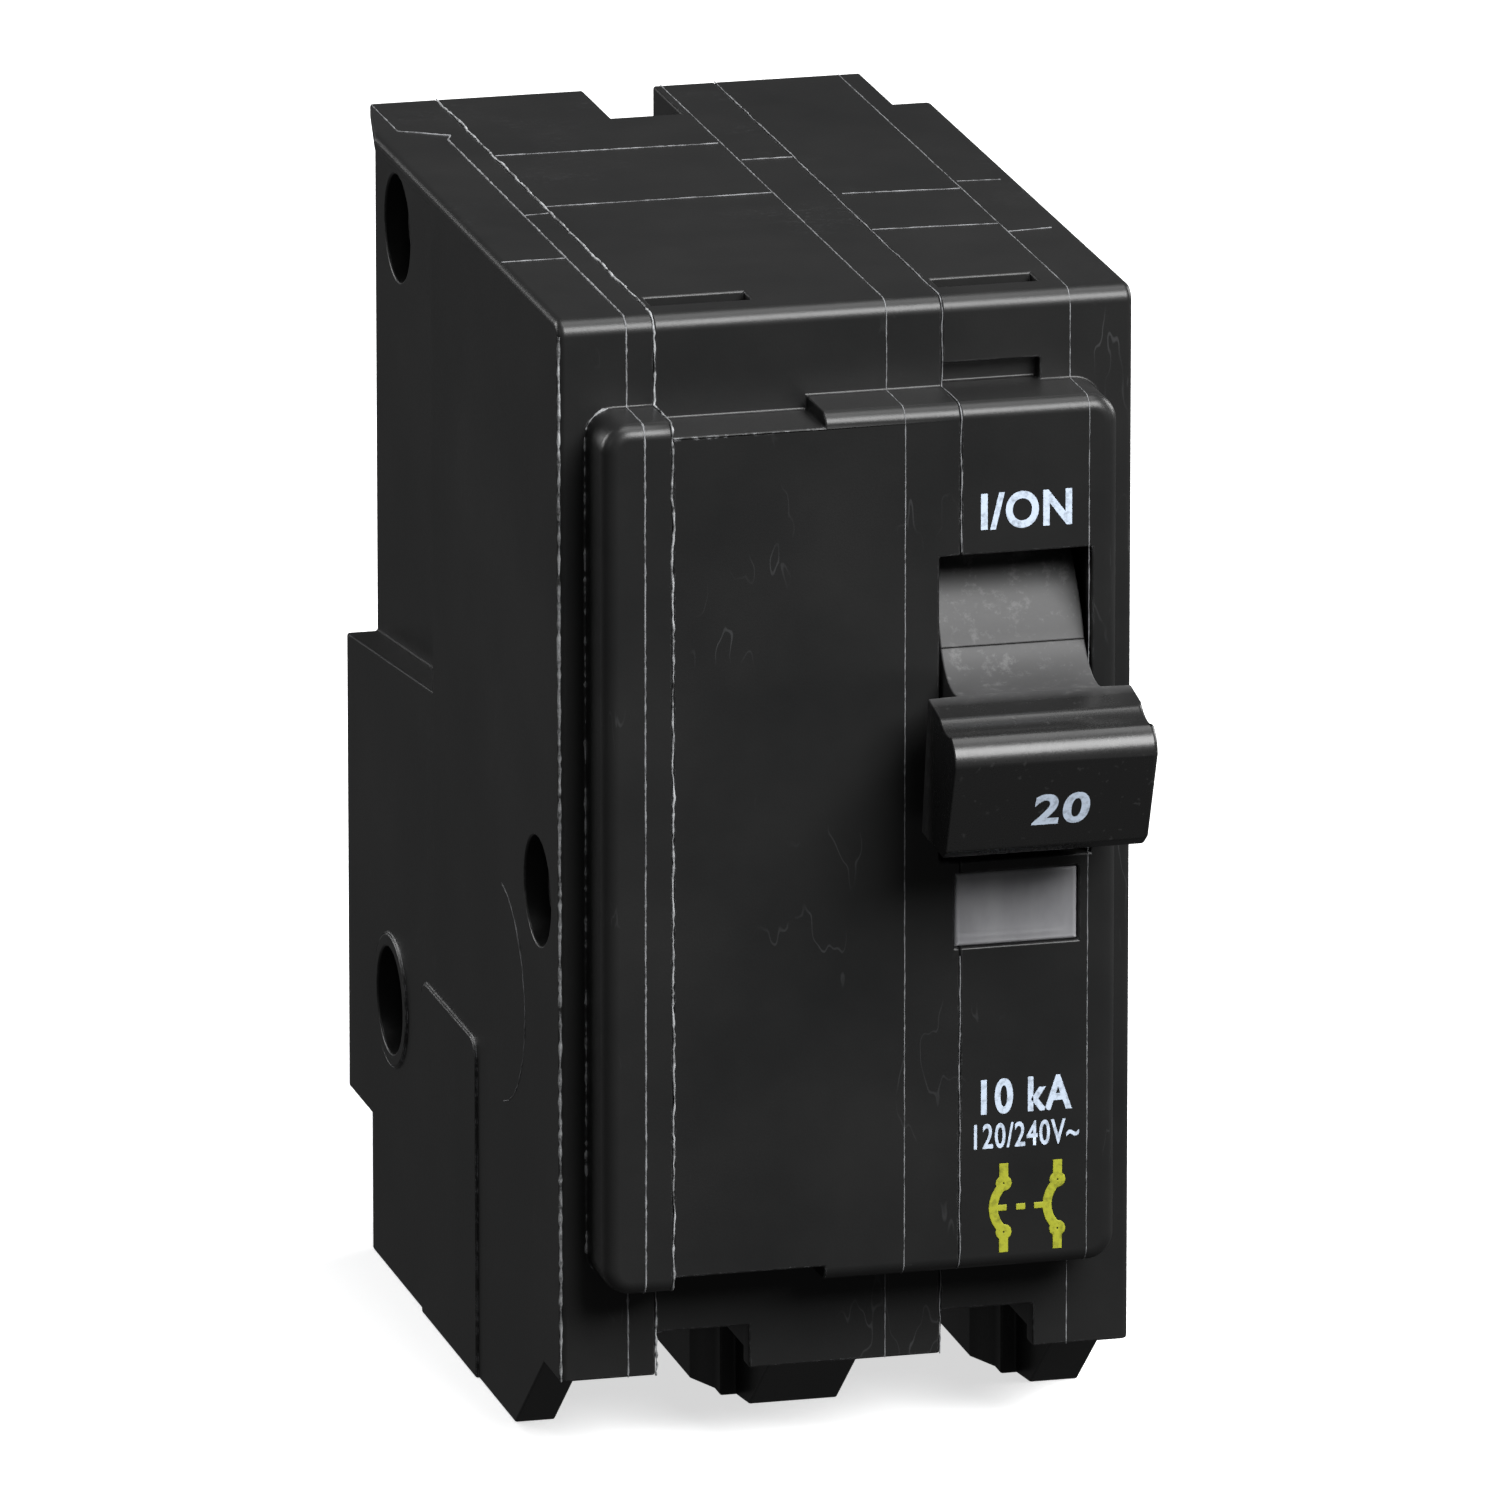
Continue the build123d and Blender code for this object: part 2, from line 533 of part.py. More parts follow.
def make_case():
    """The three mouldings: the left cover, the centre case and the right case."""
    shell = shell_outline()
    for pad in side_pads():
        shell += pad
    for pole in range(POLES):
        shell -= back_recesses(pole)
        shell -= mechanism_room(pole)
        shell += rail_pocket(pole)
    inside = block(X_LEFT + WALL / 2, X_RIGHT - WALL / 2, Y_SHOULDER + WALL / 2, Y_BACK - WALL / 2,
                   WALL, Z_TOP - WALL / 2)
    shell += rivet_bosses()
    shell += flag_rails()
    for cup in rivet_cups():
        shell += cup & inside
    for pole in range(POLES):
        shell -= wire_channel(pole)
        shell -= openings(pole)
    for hole in rivet_holes():
        shell -= hole
    right_pole = pole_left(POLES - 1)
    opening = block(right_pole + OPENING_LEFT, right_pole + OPENING_RIGHT, Y_PANEL - 1, Y_PANEL + WALL + 1,
                    OPENING_FOOT, OPENING_TOP)
    shell -= opening
    shell -= block(right_pole + LENS_LEFT, right_pole + LENS_RIGHT, Y_PANEL - 1, Y_PANEL + LENS_THICK,
                   LENS_FOOT, LENS_TOP)
    shell -= block(right_pole + LENS_LEFT + LENS_LEDGE, right_pole + LENS_RIGHT - LENS_LEDGE, Y_PANEL,
                   Y_PANEL + WALL + 1, LENS_FOOT + LENS_LEDGE, LENS_TOP - LENS_LEDGE)
    panel_top = Z_TOP - PANEL_TOP_DROP
    shell -= block(X_BASE_JOINT, X_BASE_JOINT + SHADOW_POCKET_WIDTH, Y_SHOULDER - 0.01,
                   Y_SHOULDER + SHADOW_POCKET_DEPTH, panel_top, panel_top + SHADOW_POCKET_RISE)
    # bearings for the shafts that cross both poles, and seats for the pins of each pole
    for y, z, radius in ((PIVOT_Y, PIVOT_Z, SHAFT_RADIUS), (TRIP_BAR_Y, TRIP_BAR_Z, TRIP_BAR_END)):
        shell -= rod_x(radius + RUN_GAP, y, z, X_LEFT + WALL / 2, X_RIGHT - WALL / 2)
    for pole in range(POLES):
        left = pole_left(pole)
        for y, z, radius in ((CRADLE_Y, CRADLE_Z, CRADLE_PIN_RADIUS),
                             (ARMATURE_Y, ARMATURE_Z, ARMATURE_PIN_RADIUS)):
            shell -= rod_x(radius + RUN_GAP, y, z, left + WALL / 2, left + POLE_PITCH - WALL / 2)
    shell -= rod_x(ROCKER_PIN_RADIUS + RUN_GAP, ROCKER_Y, ROCKER_Z, mech_x(POLES - 1), X_RIGHT - WALL / 2)
    cover = shell & block(X_LEFT - 1, X_COVER_JOINT, -DEPTH, DEPTH, -1, HEIGHT + 1)
    centre = shell & block(X_COVER_JOINT, X_BASE_JOINT, -DEPTH, DEPTH, -1, HEIGHT + 1)
    base = shell & block(X_BASE_JOINT, X_RIGHT + 1, -DEPTH, DEPTH, -1, HEIGHT + 1)
    keep("left_cover", cover)
    keep("center_case", centre)
    keep("right_case", base)


def make_rivets():
    """Three headed steel rivets through all the mouldings."""
    group = []
    for name, (y, z) in RIVETS.items():
        seat, end = rivet_seats(name)
        rivet = rod_x(RIVET_SHANK, y, z, seat - 1, end + 1)
        rivet += rod_x(RIVET_HEAD, y, z, seat - RIVET_SINK, seat)
        rivet += rod_x(RIVET_HEAD, y, z, end, end + RIVET_SINK)
        rivet -= rod_x(RIVET_SHANK * 0.7, y, z, seat - RIVET_SINK - 1, seat - 0.4)
        group.append(rivet.solids()[0])
    NODES["case_rivets"] = Compound(children=group)


def make_lens():
    """The clear window over the trip indicator."""
    right_pole = pole_left(POLES - 1)
    x0, x1 = right_pole + LENS_LEFT, right_pole + LENS_RIGHT
    pane = block(x0 + RUN_GAP, x1 - RUN_GAP, Y_PANEL + 0.15, Y_PANEL + LENS_THICK,
                 LENS_FOOT + RUN_GAP, LENS_TOP - RUN_GAP)
    pane = fillet(pane.faces().sort_by(Axis.Y)[0].edges(), 0.25)
    inner = block(x0 + LENS_LEDGE + RUN_GAP, x1 - LENS_LEDGE - RUN_GAP, Y_PANEL + LENS_THICK - 0.1,
                  Y_PANEL + WALL + 0.3, LENS_FOOT + LENS_LEDGE + RUN_GAP, LENS_TOP - LENS_LEDGE - RUN_GAP)
    keep("indicator_lens", pane + inner)


# ---------------------------------------------------------------- handle
def crank_plates(pole):
    """The two plates that reach back from a hub and hold the contact arm between them."""
    middle = mech_x(pole)
    joint = polar(PIVOT, CRANK_LENGTH, CRANK_ANGLE)
    plates = None
    for side in (-1, 1):
        inner = middle + side * (ARM_WIDTH / 2 + SIDE_GAP)
        outer = inner + side * CRANK_PLATE
        x0, x1 = min(inner, outer), max(inner, outer)
        plate = bar(PIVOT, joint, 2 * CRANK_END, x0, x1) + rod_x(CRANK_END, *joint, x0, x1)
        plates = plate if plates is None else plates + plate
    plates -= rod_x(ARM_PIN_RADIUS, *joint, middle - POLE_PITCH / 2, middle + POLE_PITCH / 2)
    return plates


def drum_sector(radius, x0, x1):
    """The part of the drum that closes the handle opening."""
    start, end = polar(PIVOT, radius, DRUM_START), polar(PIVOT, radius, DRUM_END)
    middle = polar(PIVOT, radius, (DRUM_START + DRUM_END) / 2)
    arc = ThreePointArc((x0, *start), (x0, *middle), (x0, *end))
    sides = Polyline((x0, *end), (x0, *PIVOT), (x0, *start))
    return extrude(make_face(arc + sides), amount=x1 - x0, dir=(1, 0, 0))


def handle_grip():
    """The neck and the wide paddle of the handle, in the off position."""
    tip = Y_PANEL - HANDLE_PROUD
    middle = mech_x(POLES - 1)
    x0, x1 = middle - DRUM_WIDTH / 2, middle + DRUM_WIDTH / 2
    ridge = (Y_PANEL + 0.75, PIVOT_Z + 4.05)
    neck_mid = (ridge[0] - 1.15, ridge[1] - 1.35)
    rear_top = (ridge[0] - 4.15, ridge[1] - 2.1)
    low_ridge = polar(PIVOT, DRUM_RADIUS, 180 + 45)
    rear_low = (Y_PANEL - 1.9, PIVOT_Z - 7.4)
    neck = make_face(ThreePointArc((x0, *ridge), (x0, *neck_mid), (x0, *rear_top))
                     + Polyline((x0, *rear_top), (x0, rear_top[0], rear_low[1]), (x0, *rear_low),
                                (x0, low_ridge[0], low_ridge[1]), (x0, *PIVOT), (x0, *ridge)))
    neck = extrude(neck, amount=x1 - x0, dir=(1, 0, 0))
    p0, p1 = middle - PADDLE_WIDTH / 2, middle + PADDLE_WIDTH / 2
    top_edge = (rear_top[0] - 2.8, rear_top[1] - 0.5)
    dip = (tip + 2.4, rear_top[1] - 1.15)
    lip = (tip + 1.15, rear_top[1] - 1.05)
    brow = (tip, rear_top[1] - 2.9)
    chin = (tip + 2.3, rear_top[1] - 9.0)
    jaw = (tip + 3.1, rear_top[1] - 9.6)
    run, drop = lip[0] - brow[0], lip[1] - brow[1]
    nose_radius = (run * run + drop * drop) / (2 * run)
    nose = polar((brow[0] + nose_radius, brow[1]), nose_radius, 148)
    outline = (Polyline((p0, *rear_top), (p0, *top_edge))
               + ThreePointArc((p0, *top_edge), (p0, *dip), (p0, *lip))
               + ThreePointArc((p0, *lip), (p0, *nose), (p0, *brow))
               + Polyline((p0, *brow), (p0, *chin), (p0, *jaw), (p0, *rear_low), (p0, *rear_top)))
    paddle = extrude(make_face(outline), amount=p1 - p0, dir=(1, 0, 0))
    ends = paddle.faces().filter_by(Axis.X).sort_by(Axis.X)
    rims = [edge for edge in ends[-1].edges() if edge.center().Y < tip + RIM_REACH and edge.length > 1]
    paddle = fillet(rims, PADDLE_RIM)
    return neck + paddle


def make_handle():
    """The moulded handle, the crank of the other pole and the shaft that ties them."""
    pole = POLES - 1
    middle = mech_x(pole)
    handle = drum_sector(DRUM_RADIUS, middle - DRUM_WIDTH / 2, middle + DRUM_WIDTH / 2) + handle_grip()
    handle += rod_x(HUB_RADIUS, *PIVOT, middle - HUB_WIDTH / 2, middle + HUB_WIDTH / 2)
    handle += crank_plates(pole)
    handle -= rod_x(SHAFT_RADIUS, *PIVOT, middle - POLE_PITCH / 2, middle + POLE_PITCH / 2)
    keep("handle", handle)
    for pole in range(POLES - 1):
        middle = mech_x(pole)
        crank = rod_x(HUB_RADIUS, *PIVOT, middle - HUB_WIDTH / 2, middle + HUB_WIDTH / 2) + crank_plates(pole)
        crank -= rod_x(SHAFT_RADIUS, *PIVOT, middle - POLE_PITCH / 2, middle + POLE_PITCH / 2)
        keep("inner_crank", crank)
    seat = WALL / 2 + SIDE_GAP
    keep("handle_shaft", rod_x(SHAFT_RADIUS, *PIVOT, X_LEFT + seat, X_RIGHT - seat))


# ---------------------------------------------------------------- contacts
def on_pose():
    """The contact arm's pivot and angle with the handle on."""
    joint = polar(PIVOT, CRANK_LENGTH, CRANK_ANGLE - HANDLE_THROW)
    angle = ARM_ANGLE_OFF - HANDLE_THROW * (1 + ARM_RATIO)
    return joint, angle


def make_arm(pole, side):
    """A copper contact arm with its silver contact, and the pin it turns on."""
    middle = mech_x(pole)
    x0, x1 = middle - ARM_WIDTH / 2, middle + ARM_WIDTH / 2
    joint = polar(PIVOT, CRANK_LENGTH, CRANK_ANGLE)
    tip = polar(joint, ARM_LENGTH, ARM_ANGLE_OFF)
    arm = bar(joint, tip, ARM_THICK, x0, x1) + rod_x(ARM_EYE, *joint, x0, x1)
    arm -= rod_x(ARM_PIN_RADIUS + RUN_GAP, *joint, x0 - 1, x1 + 1)
    keep("contact_arm_" + side, arm)
    seat = polar(joint, CONTACT_AT, ARM_ANGLE_OFF)
    face = polar(seat, ARM_THICK / 2, ARM_ANGLE_OFF - 90)
    normal = polar((0, 0), 1, ARM_ANGLE_OFF - 90)
    plane = Plane(origin=(middle, *face), z_dir=(0, *normal))
    button = Pos(0, 0, CONTACT_THICK / 2) * Cylinder(CONTACT_RADIUS, CONTACT_THICK)
    keep("moving_contact_" + side, plane * button)
    reach = ARM_WIDTH / 2 + SIDE_GAP + CRANK_PLATE
    keep("arm_pin_" + side, rod_x(ARM_PIN_RADIUS, *joint, middle - reach, middle + reach))


def make_line_side(pole, side):
    """Fixed contact, its strap, the plug-on jaw and the jaw's spring clip."""
    middle = mech_x(pole)
    joint, angle = on_pose()
    seat = polar(joint, CONTACT_AT, angle)
    away = ARM_THICK / 2 + CONTACT_THICK + CONTACT_GAP
    face = polar(seat, away, angle - 90)
    back = polar(face, CONTACT_THICK, angle - 90)
    normal = polar((0, 0), 1, angle - 90)
    plane = Plane(origin=(middle, *face), z_dir=(0, *normal))
    button = Pos(0, 0, CONTACT_THICK / 2) * Cylinder(CONTACT_RADIUS, CONTACT_THICK)
    keep("fixed_contact_" + side, plane * button)
    run = polar(back, STRAP_THICK / 2, angle - 90)
    low = polar(run, -2.6, angle)
    high = polar(run, 3.2, angle)
    x0, x1 = middle - STRAP_WIDTH / 2, middle + STRAP_WIDTH / 2
    strap = bar(low, high, STRAP_THICK, x0, x1)
    strap += rod_x(STRAP_THICK / 2, *high, x0, x1)
    strap += bar(high, (JAW_FRONT - STRAP_THICK / 2, high[1]), STRAP_THICK, x0, x1, 0)
    strap += block(x0, x1, JAW_FRONT - STRAP_THICK, JAW_FRONT, high[1] - 6, high[1] + STRAP_THICK / 2)
    keep("line_strap_" + side, strap)
    inner, outer = JAW_GAP / 2, JAW_GAP / 2 + JAW_LEAF
    half = [(inner, JAW_FRONT + JAW_LEAF), (inner, JAW_BACK - JAW_MOUTH), (inner + JAW_FLARE, JAW_BACK),
            (outer + JAW_FLARE, JAW_BACK), (outer, JAW_BACK - JAW_MOUTH), (outer, JAW_FRONT), (0, JAW_FRONT),
            (0, JAW_FRONT + JAW_LEAF)]
    jaw = plan([(middle + x, y) for x, y in half], JAW_FOOT, JAW_TOP)
    jaw += plan([(middle - x, y) for x, y in half], JAW_FOOT, JAW_TOP)
    keep("line_jaw_" + side, jaw)
    foot, top = JAW_FOOT + 3, JAW_TOP - 3
    clip = None
    for way in (-1, 1):
        a, b = middle + way * outer, middle + way * (outer + CLIP_THICK)
        leaf = block(min(a, b), max(a, b), CLIP_FRONT, CLIP_BACK, foot, top)
        clip = leaf if clip is None else clip + leaf
    clip += block(middle - outer - CLIP_THICK, middle + outer + CLIP_THICK, CLIP_FRONT, CLIP_BACK,
                  JAW_FOOT - CLIP_DROP - CLIP_THICK, JAW_FOOT - CLIP_DROP)
    for way in (-1, 1):
        a, b = middle + way * outer, middle + way * (outer + CLIP_THICK)
        clip += block(min(a, b), max(a, b), CLIP_FRONT, CLIP_BACK, JAW_FOOT - CLIP_DROP - CLIP_THICK / 2, foot)
    keep("jaw_spring_" + side, clip)


def make_arc_chute(pole, side):
    """Steel splitter plates and the two fibre sheets that hold them."""
    middle = mech_x(pole)
    reach = CRANK_LENGTH + ARM_LENGTH
    plates = []
    roof = Z_TOP - WALL - SIDE_GAP
    for step in range(ARC_PLATES):
        y = ARC_PLATE_FIRST + ARC_PLATE_PITCH * step
        swept = PIVOT_Z + sqrt(reach ** 2 - min(y - PIVOT_Y, reach - 1) ** 2)
        foot = max(swept, JAW_TOP + ARC_FOOT_GAP)
        plate = block(middle - ARC_PLATE_HALF, middle + ARC_PLATE_HALF, y, y + ARC_PLATE_THICK, foot, roof)
        throat = block(middle - ARC_THROAT / 2, middle + ARC_THROAT / 2, y - 1, y + ARC_PLATE_THICK + 1,
                       foot - 1, foot + min(ARC_THROAT_RISE, (roof - foot) / 2))
        plates.append((plate - throat).solids()[0])
    NODES["arc_plates_" + side] = Compound(children=plates)
    sheets = []
    y_end = ARC_PLATE_FIRST + ARC_PLATE_PITCH * (ARC_PLATES - 1) + ARC_PLATE_THICK
    for way in (-1, 1):
        a = middle + way * (ARC_PLATE_HALF + 0.05)
        b = a + way * ARC_SHEET_THICK
        sheets.append(block(min(a, b), max(a, b), ARC_PLATE_FIRST - ARC_SHEET_THICK, y_end + ARC_SHEET_THICK,
                            ARC_SHEET_FOOT, roof).solids()[0])
    NODES["arc_sheets_" + side] = Compound(children=sheets)


# ---------------------------------------------------------------- trip mechanism
def make_cradle(pole, side):
    """The latched steel cradle and the pin it turns on."""
    middle = mech_x(pole)
    x0, x1 = middle - CRADLE_THICK / 2, middle + CRADLE_THICK / 2
    hub = (CRADLE_Y, CRADLE_Z)
    latch = (LATCH_Y, LATCH_Z)
    cradle = rod_x(CRADLE_HUB, *hub, x0, x1) + bar(hub, latch, CRADLE_LIMB, x0, x1)
    cradle += rod_x(LATCH_RADIUS, *latch, x0, x1)
    cradle += bar((HOOK_Y + HOOK_RUN, HOOK_Z - 1.0), (HOOK_Y, HOOK_Z), HOOK_LIMB, x0, x1)
    cradle -= rod_x(CRADLE_PIN_RADIUS + RUN_GAP, *hub, x0 - 1, x1 + 1)
    notch_z = LATCH_Z - LATCH_RADIUS - LATCH_CUT
    cradle -= bar((LATCH_Y - 2, notch_z), (LATCH_Y + 3, notch_z), 2 * LATCH_CUT, x0 - 1, x1 + 1)
    keep("trip_cradle_" + side, cradle)
    left = pole_left(pole)
    keep("cradle_pin_" + side, rod_x(CRADLE_PIN_RADIUS, *hub, left + WALL / 2 + PIN_END_GAP,
                                     left + POLE_PITCH - WALL / 2 - PIN_END_GAP))


def make_toggle_spring(pole, side):
    """The tension spring from the contact arm to the cradle, as a ribbed sleeve with two hooks."""
    middle = mech_x(pole)
    joint = polar(PIVOT, CRANK_LENGTH, CRANK_ANGLE)
    start = polar(joint, SPRING_AT, ARM_ANGLE_OFF)
    end = (HOOK_Y, HOOK_Z)
    dy, dz = end[0] - start[0], end[1] - start[1]
    length = sqrt(dy * dy + dz * dz)
    plane = Plane(origin=(middle, *start), x_dir=(1, 0, 0), z_dir=(0, dy / length, dz / length))
    wire, radius = SPRING_WIRE, SPRING_RADIUS
    first = SPRING_HOOK_FRONT
    count = int((length - SPRING_HOOK_BACK - first) / wire)
    edges = []
    for turn in range(count):
        low = first + turn * wire
        edges.append(ThreePointArc((radius, 0, low), (radius + wire / 2, 0, low + wire / 2),
                                   (radius, 0, low + wire)))
    top = first + count * wire
    edges.append(Polyline((radius, 0, top), (0, 0, top), (0, 0, first), (radius, 0, first)))
    profile = make_face(edges)
    body = revolve(profile, Axis.Z)
    for low, high in ((SPRING_CLEAR_FRONT, first + wire / 2), (top - wire / 2, length - SPRING_CLEAR_BACK)):
        body += Pos(0, 0, (low + high) / 2) * Cylinder(HOOK_RADIUS, high - low)
    keep("toggle_spring_" + side, plane * body)


def make_trip_unit(pole, side):
    """Armature, its pin, the magnet yoke, the bimetal and the calibration screw."""
    middle = mech_x(pole)
    left = pole_left(pole)
    x0, x1 = middle - ARMATURE_WIDTH / 2, middle + ARMATURE_WIDTH / 2
    armature = block(x0, x1, ARMATURE_Y - ARMATURE_THICK / 2, ARMATURE_Y + ARMATURE_THICK / 2,
                     ARMATURE_Z, ARMATURE_TOP)
    armature += rod_x(ARMATURE_EYE, ARMATURE_Y, ARMATURE_Z, x0, x1)
    armature -= rod_x(ARMATURE_PIN_RADIUS + RUN_GAP, ARMATURE_Y, ARMATURE_Z, x0 - 1, x1 + 1)
    keep("armature_" + side, armature)
    seat = WALL / 2 + PIN_END_GAP
    keep("armature_pin_" + side, rod_x(ARMATURE_PIN_RADIUS, ARMATURE_Y, ARMATURE_Z,
                                       left + seat, left + POLE_PITCH - seat))
    x0, x1 = middle - YOKE_WIDTH / 2, middle + YOKE_WIDTH / 2
    yoke = block(x0, x1, YOKE_BACK - YOKE_THICK, YOKE_BACK, YOKE_FOOT, YOKE_TOP)
    yoke += block(x0, x0 + YOKE_THICK, YOKE_FRONT, YOKE_BACK, YOKE_FOOT, YOKE_TOP)
    yoke += block(x1 - YOKE_THICK, x1, YOKE_FRONT, YOKE_BACK, YOKE_FOOT, YOKE_TOP)
    screw_z = (YOKE_FOOT + YOKE_TOP) / 2
    yoke -= rod_y(CALIBRATION_RADIUS, middle, screw_z, YOKE_BACK - 3, YOKE_BACK + 1)
    keep("magnet_yoke_" + side, yoke)
    strap_back = STRAP_FACE_Y + STRAP_THICK
    strip = block(middle - BIMETAL_WIDTH / 2, middle + BIMETAL_WIDTH / 2, strap_back,
                  strap_back + BIMETAL_THICK, CHANNEL_TOP + WALL + 0.4, BIMETAL_TOP)
    strip += block(middle, middle + EAR_REACH, strap_back, strap_back + BIMETAL_THICK, BIMETAL_TOP - EAR_HEIGHT,
                   BIMETAL_TOP)
    keep("bimetal_" + side, strip)
    tail = YOKE_BACK + CALIBRATION_TAIL
    screw = rod_y(CALIBRATION_RADIUS, middle, screw_z, strap_back + BIMETAL_THICK + 0.1, tail)
    screw -= block(middle - 2, middle + 2, tail - CALIBRATION_SLOT, tail + 1,
                   screw_z - CALIBRATION_SLOT / 2.4, screw_z + CALIBRATION_SLOT / 2.4)
    keep("calibration_screw_" + side, screw)


def make_trip_bar():
    """The common trip bar, with one finger for each pole, and its return spring."""
    x0, x1 = pole_left(0) + WALL + BAR_GAP, X_RIGHT - WALL - BAR_GAP
    seat = WALL / 2 + SIDE_GAP
    shaft = rod_x(TRIP_BAR_END, TRIP_BAR_Y, TRIP_BAR_Z, X_LEFT + seat, X_RIGHT - seat)
    for pole in range(POLES):
        a = max(x0, pole_left(pole) + WALL + BAR_GAP)
        b = min(x1, pole_left(pole) + POLE_PITCH - WALL - BAR_GAP)
        shaft += rod_x(TRIP_BAR_RADIUS, TRIP_BAR_Y, TRIP_BAR_Z, a, b)
        middle = mech_x(pole)
        shaft += block(middle - FINGER_WIDTH / 2, middle + FINGER_WIDTH / 2, TRIP_BAR_Y + FINGER_SET,
                       TRIP_BAR_Y + FINGER_SET + FINGER_THICK, TRIP_BAR_Z, TRIP_BAR_Z + FINGER_HEIGHT)
    keep("trip_bar", shaft)
    spring_x = mech_x(POLES - 1) + BAR_SPRING_AT
    wire, radius = BAR_SPRING_WIRE, TRIP_BAR_RADIUS + BAR_SPRING_GAP
    edges = []
    for turn in range(BAR_SPRING_TURNS):
        low = turn * wire
        edges.append(ThreePointArc((radius + wire / 2, 0, low), (radius + wire, 0, low + wire / 2),
                                   (radius + wire / 2, 0, low + wire)))
    top = BAR_SPRING_TURNS * wire
    edges.append(Polyline((radius + wire / 2, 0, top), (radius, 0, top), (radius, 0, 0),
                          (radius + wire / 2, 0, 0)))
    ring = revolve(make_face(edges), Axis.Z)
    plane = Plane(origin=(spring_x - top / 2, TRIP_BAR_Y, TRIP_BAR_Z), x_dir=(0, 1, 0), z_dir=(1, 0, 0))
    keep("trip_bar_spring", plane * ring)


def make_flag():
    """The red trip flag that rises behind the lens, and the rocker that lifts it."""
    right_pole = pole_left(POLES - 1)
    x0, x1 = right_pole + LENS_LEFT, right_pole + LENS_RIGHT
    y0 = flag_front()
    y1 = y0 + FLAG_THICK
    top = LENS_TOP + FLAG_MARGIN - FLAG_LIFT
    foot = LENS_FOOT - FLAG_MARGIN - FLAG_LIFT
    peg = (y0 + PEG_SET, ROCKER_Z - FLAG_LIFT + 0.2)
    plate0 = mech_x(POLES - 1) + ROCKER_OFFSET
    plate1 = plate0 + ROCKER_THICK
    fork0, fork1 = plate0 - SIDE_GAP - FORK_WIDTH, plate0 - SIDE_GAP
    flag = block(x0, x1, y0, y1, foot, top)
    flag += block(fork0, fork1, y0, peg[0] + PEG_RADIUS + 0.4, peg[1] - FORK_HALF, peg[1] + FORK_HALF)
    flag += block(fork0, fork1, y0, y1, peg[1] - FORK_HALF, foot + 1)
    slot = PEG_RADIUS + 0.1
    flag -= block(fork0 - 1, fork1 + 1, peg[0] - 2.4, peg[0] + 3, peg[1] - slot, peg[1] + slot)
    keep("indicator_flag", flag)
    pivot = (ROCKER_Y, ROCKER_Z)
    rocker = bar(pivot, peg, ROCKER_LIMB, plate0, plate1) + rod_x(PEG_END_RADIUS, *peg, plate0, plate1)
    rocker += bar(pivot, ROCKER_TAIL, 2 * TAIL_RADIUS, plate0, plate1)
    rocker += rod_x(TAIL_RADIUS, *ROCKER_TAIL, plate0 - 1.5, plate1)
    rocker += rod_x(ROCKER_HUB, *pivot, plate0, plate1)
    rocker += rod_x(PEG_RADIUS, *peg, fork0 + 0.2, plate0 + 0.5)
    rocker -= rod_x(ROCKER_PIN_RADIUS + RUN_GAP, *pivot, plate0 - 1, plate1 + 1)
    keep("flag_rocker", rocker)
    keep("rocker_pin", rod_x(ROCKER_PIN_RADIUS, *pivot, plate0 - 0.4, X_RIGHT - WALL / 2 - PIN_END_GAP))


# ---------------------------------------------------------------- load side
def make_load_side(pole, side):
    """Load strap, pressure plate and terminal screw."""
    x = pole_left(pole) + TERMINAL_OFFSET
    x0, x1 = x - STRAP_WIDTH / 2, x + STRAP_WIDTH / 2
    strap = block(x0, x1, STRAP_FACE_Y, STRAP_FACE_Y + STRAP_THICK, 2.2, CHANNEL_TOP + WALL + 3.6)
    strap -= rod_y(SCREW_RADIUS + SCREW_GAP, x, TERMINAL_Z, STRAP_FACE_Y - 1, STRAP_FACE_Y + STRAP_THICK + 1)
    keep("load_strap_" + side, strap)
    plate_back = STRAP_FACE_Y - WIRE_GAP
    plate = block(x - PLATE_WIDTH / 2, x + PLATE_WIDTH / 2, plate_back - PLATE_THICK, plate_back,
                  TERMINAL_Z - PLATE_HEIGHT / 2, TERMINAL_Z + PLATE_HEIGHT / 2)
    plate = fillet(plate.edges().filter_by(Axis.Y), PLATE_CORNER)
    plate -= rod_y(SCREW_RADIUS + SCREW_GAP, x, TERMINAL_Z, plate_back - 3, plate_back + 1)
    keep("pressure_plate_" + side, plate)
    head_back = plate_back - PLATE_THICK
    screw = rod_y(SCREW_HEAD_RADIUS, x, TERMINAL_Z, head_back - SCREW_HEAD_THICK, head_back)
    screw = fillet(screw.edges().sort_by(Axis.Y)[0], SCREW_HEAD_ROUND)
    tip_y = Y_SHOULDER + CHANNEL_BACK - SCREW_TRAVEL - SCREW_TIP_GAP
    screw += rod_y(SCREW_RADIUS, x, TERMINAL_Z, head_back - 0.5, tip_y)
    head_front = head_back - SCREW_HEAD_THICK
    screw -= block(x - SCREW_HEAD_RADIUS - 1, x + SCREW_HEAD_RADIUS + 1, head_front - 1,
                   head_front + DRIVER_DEPTH, TERMINAL_Z - DRIVER_WIDTH / 2, TERMINAL_Z + DRIVER_WIDTH / 2)
    screw -= block(x - DRIVER_WIDTH / 2, x + DRIVER_WIDTH / 2, head_front - 1, head_front + DRIVER_DEPTH,
                   TERMINAL_Z - CROSS_LENGTH / 2, TERMINAL_Z + CROSS_LENGTH / 2)
    keep("terminal_screw_" + side, screw)


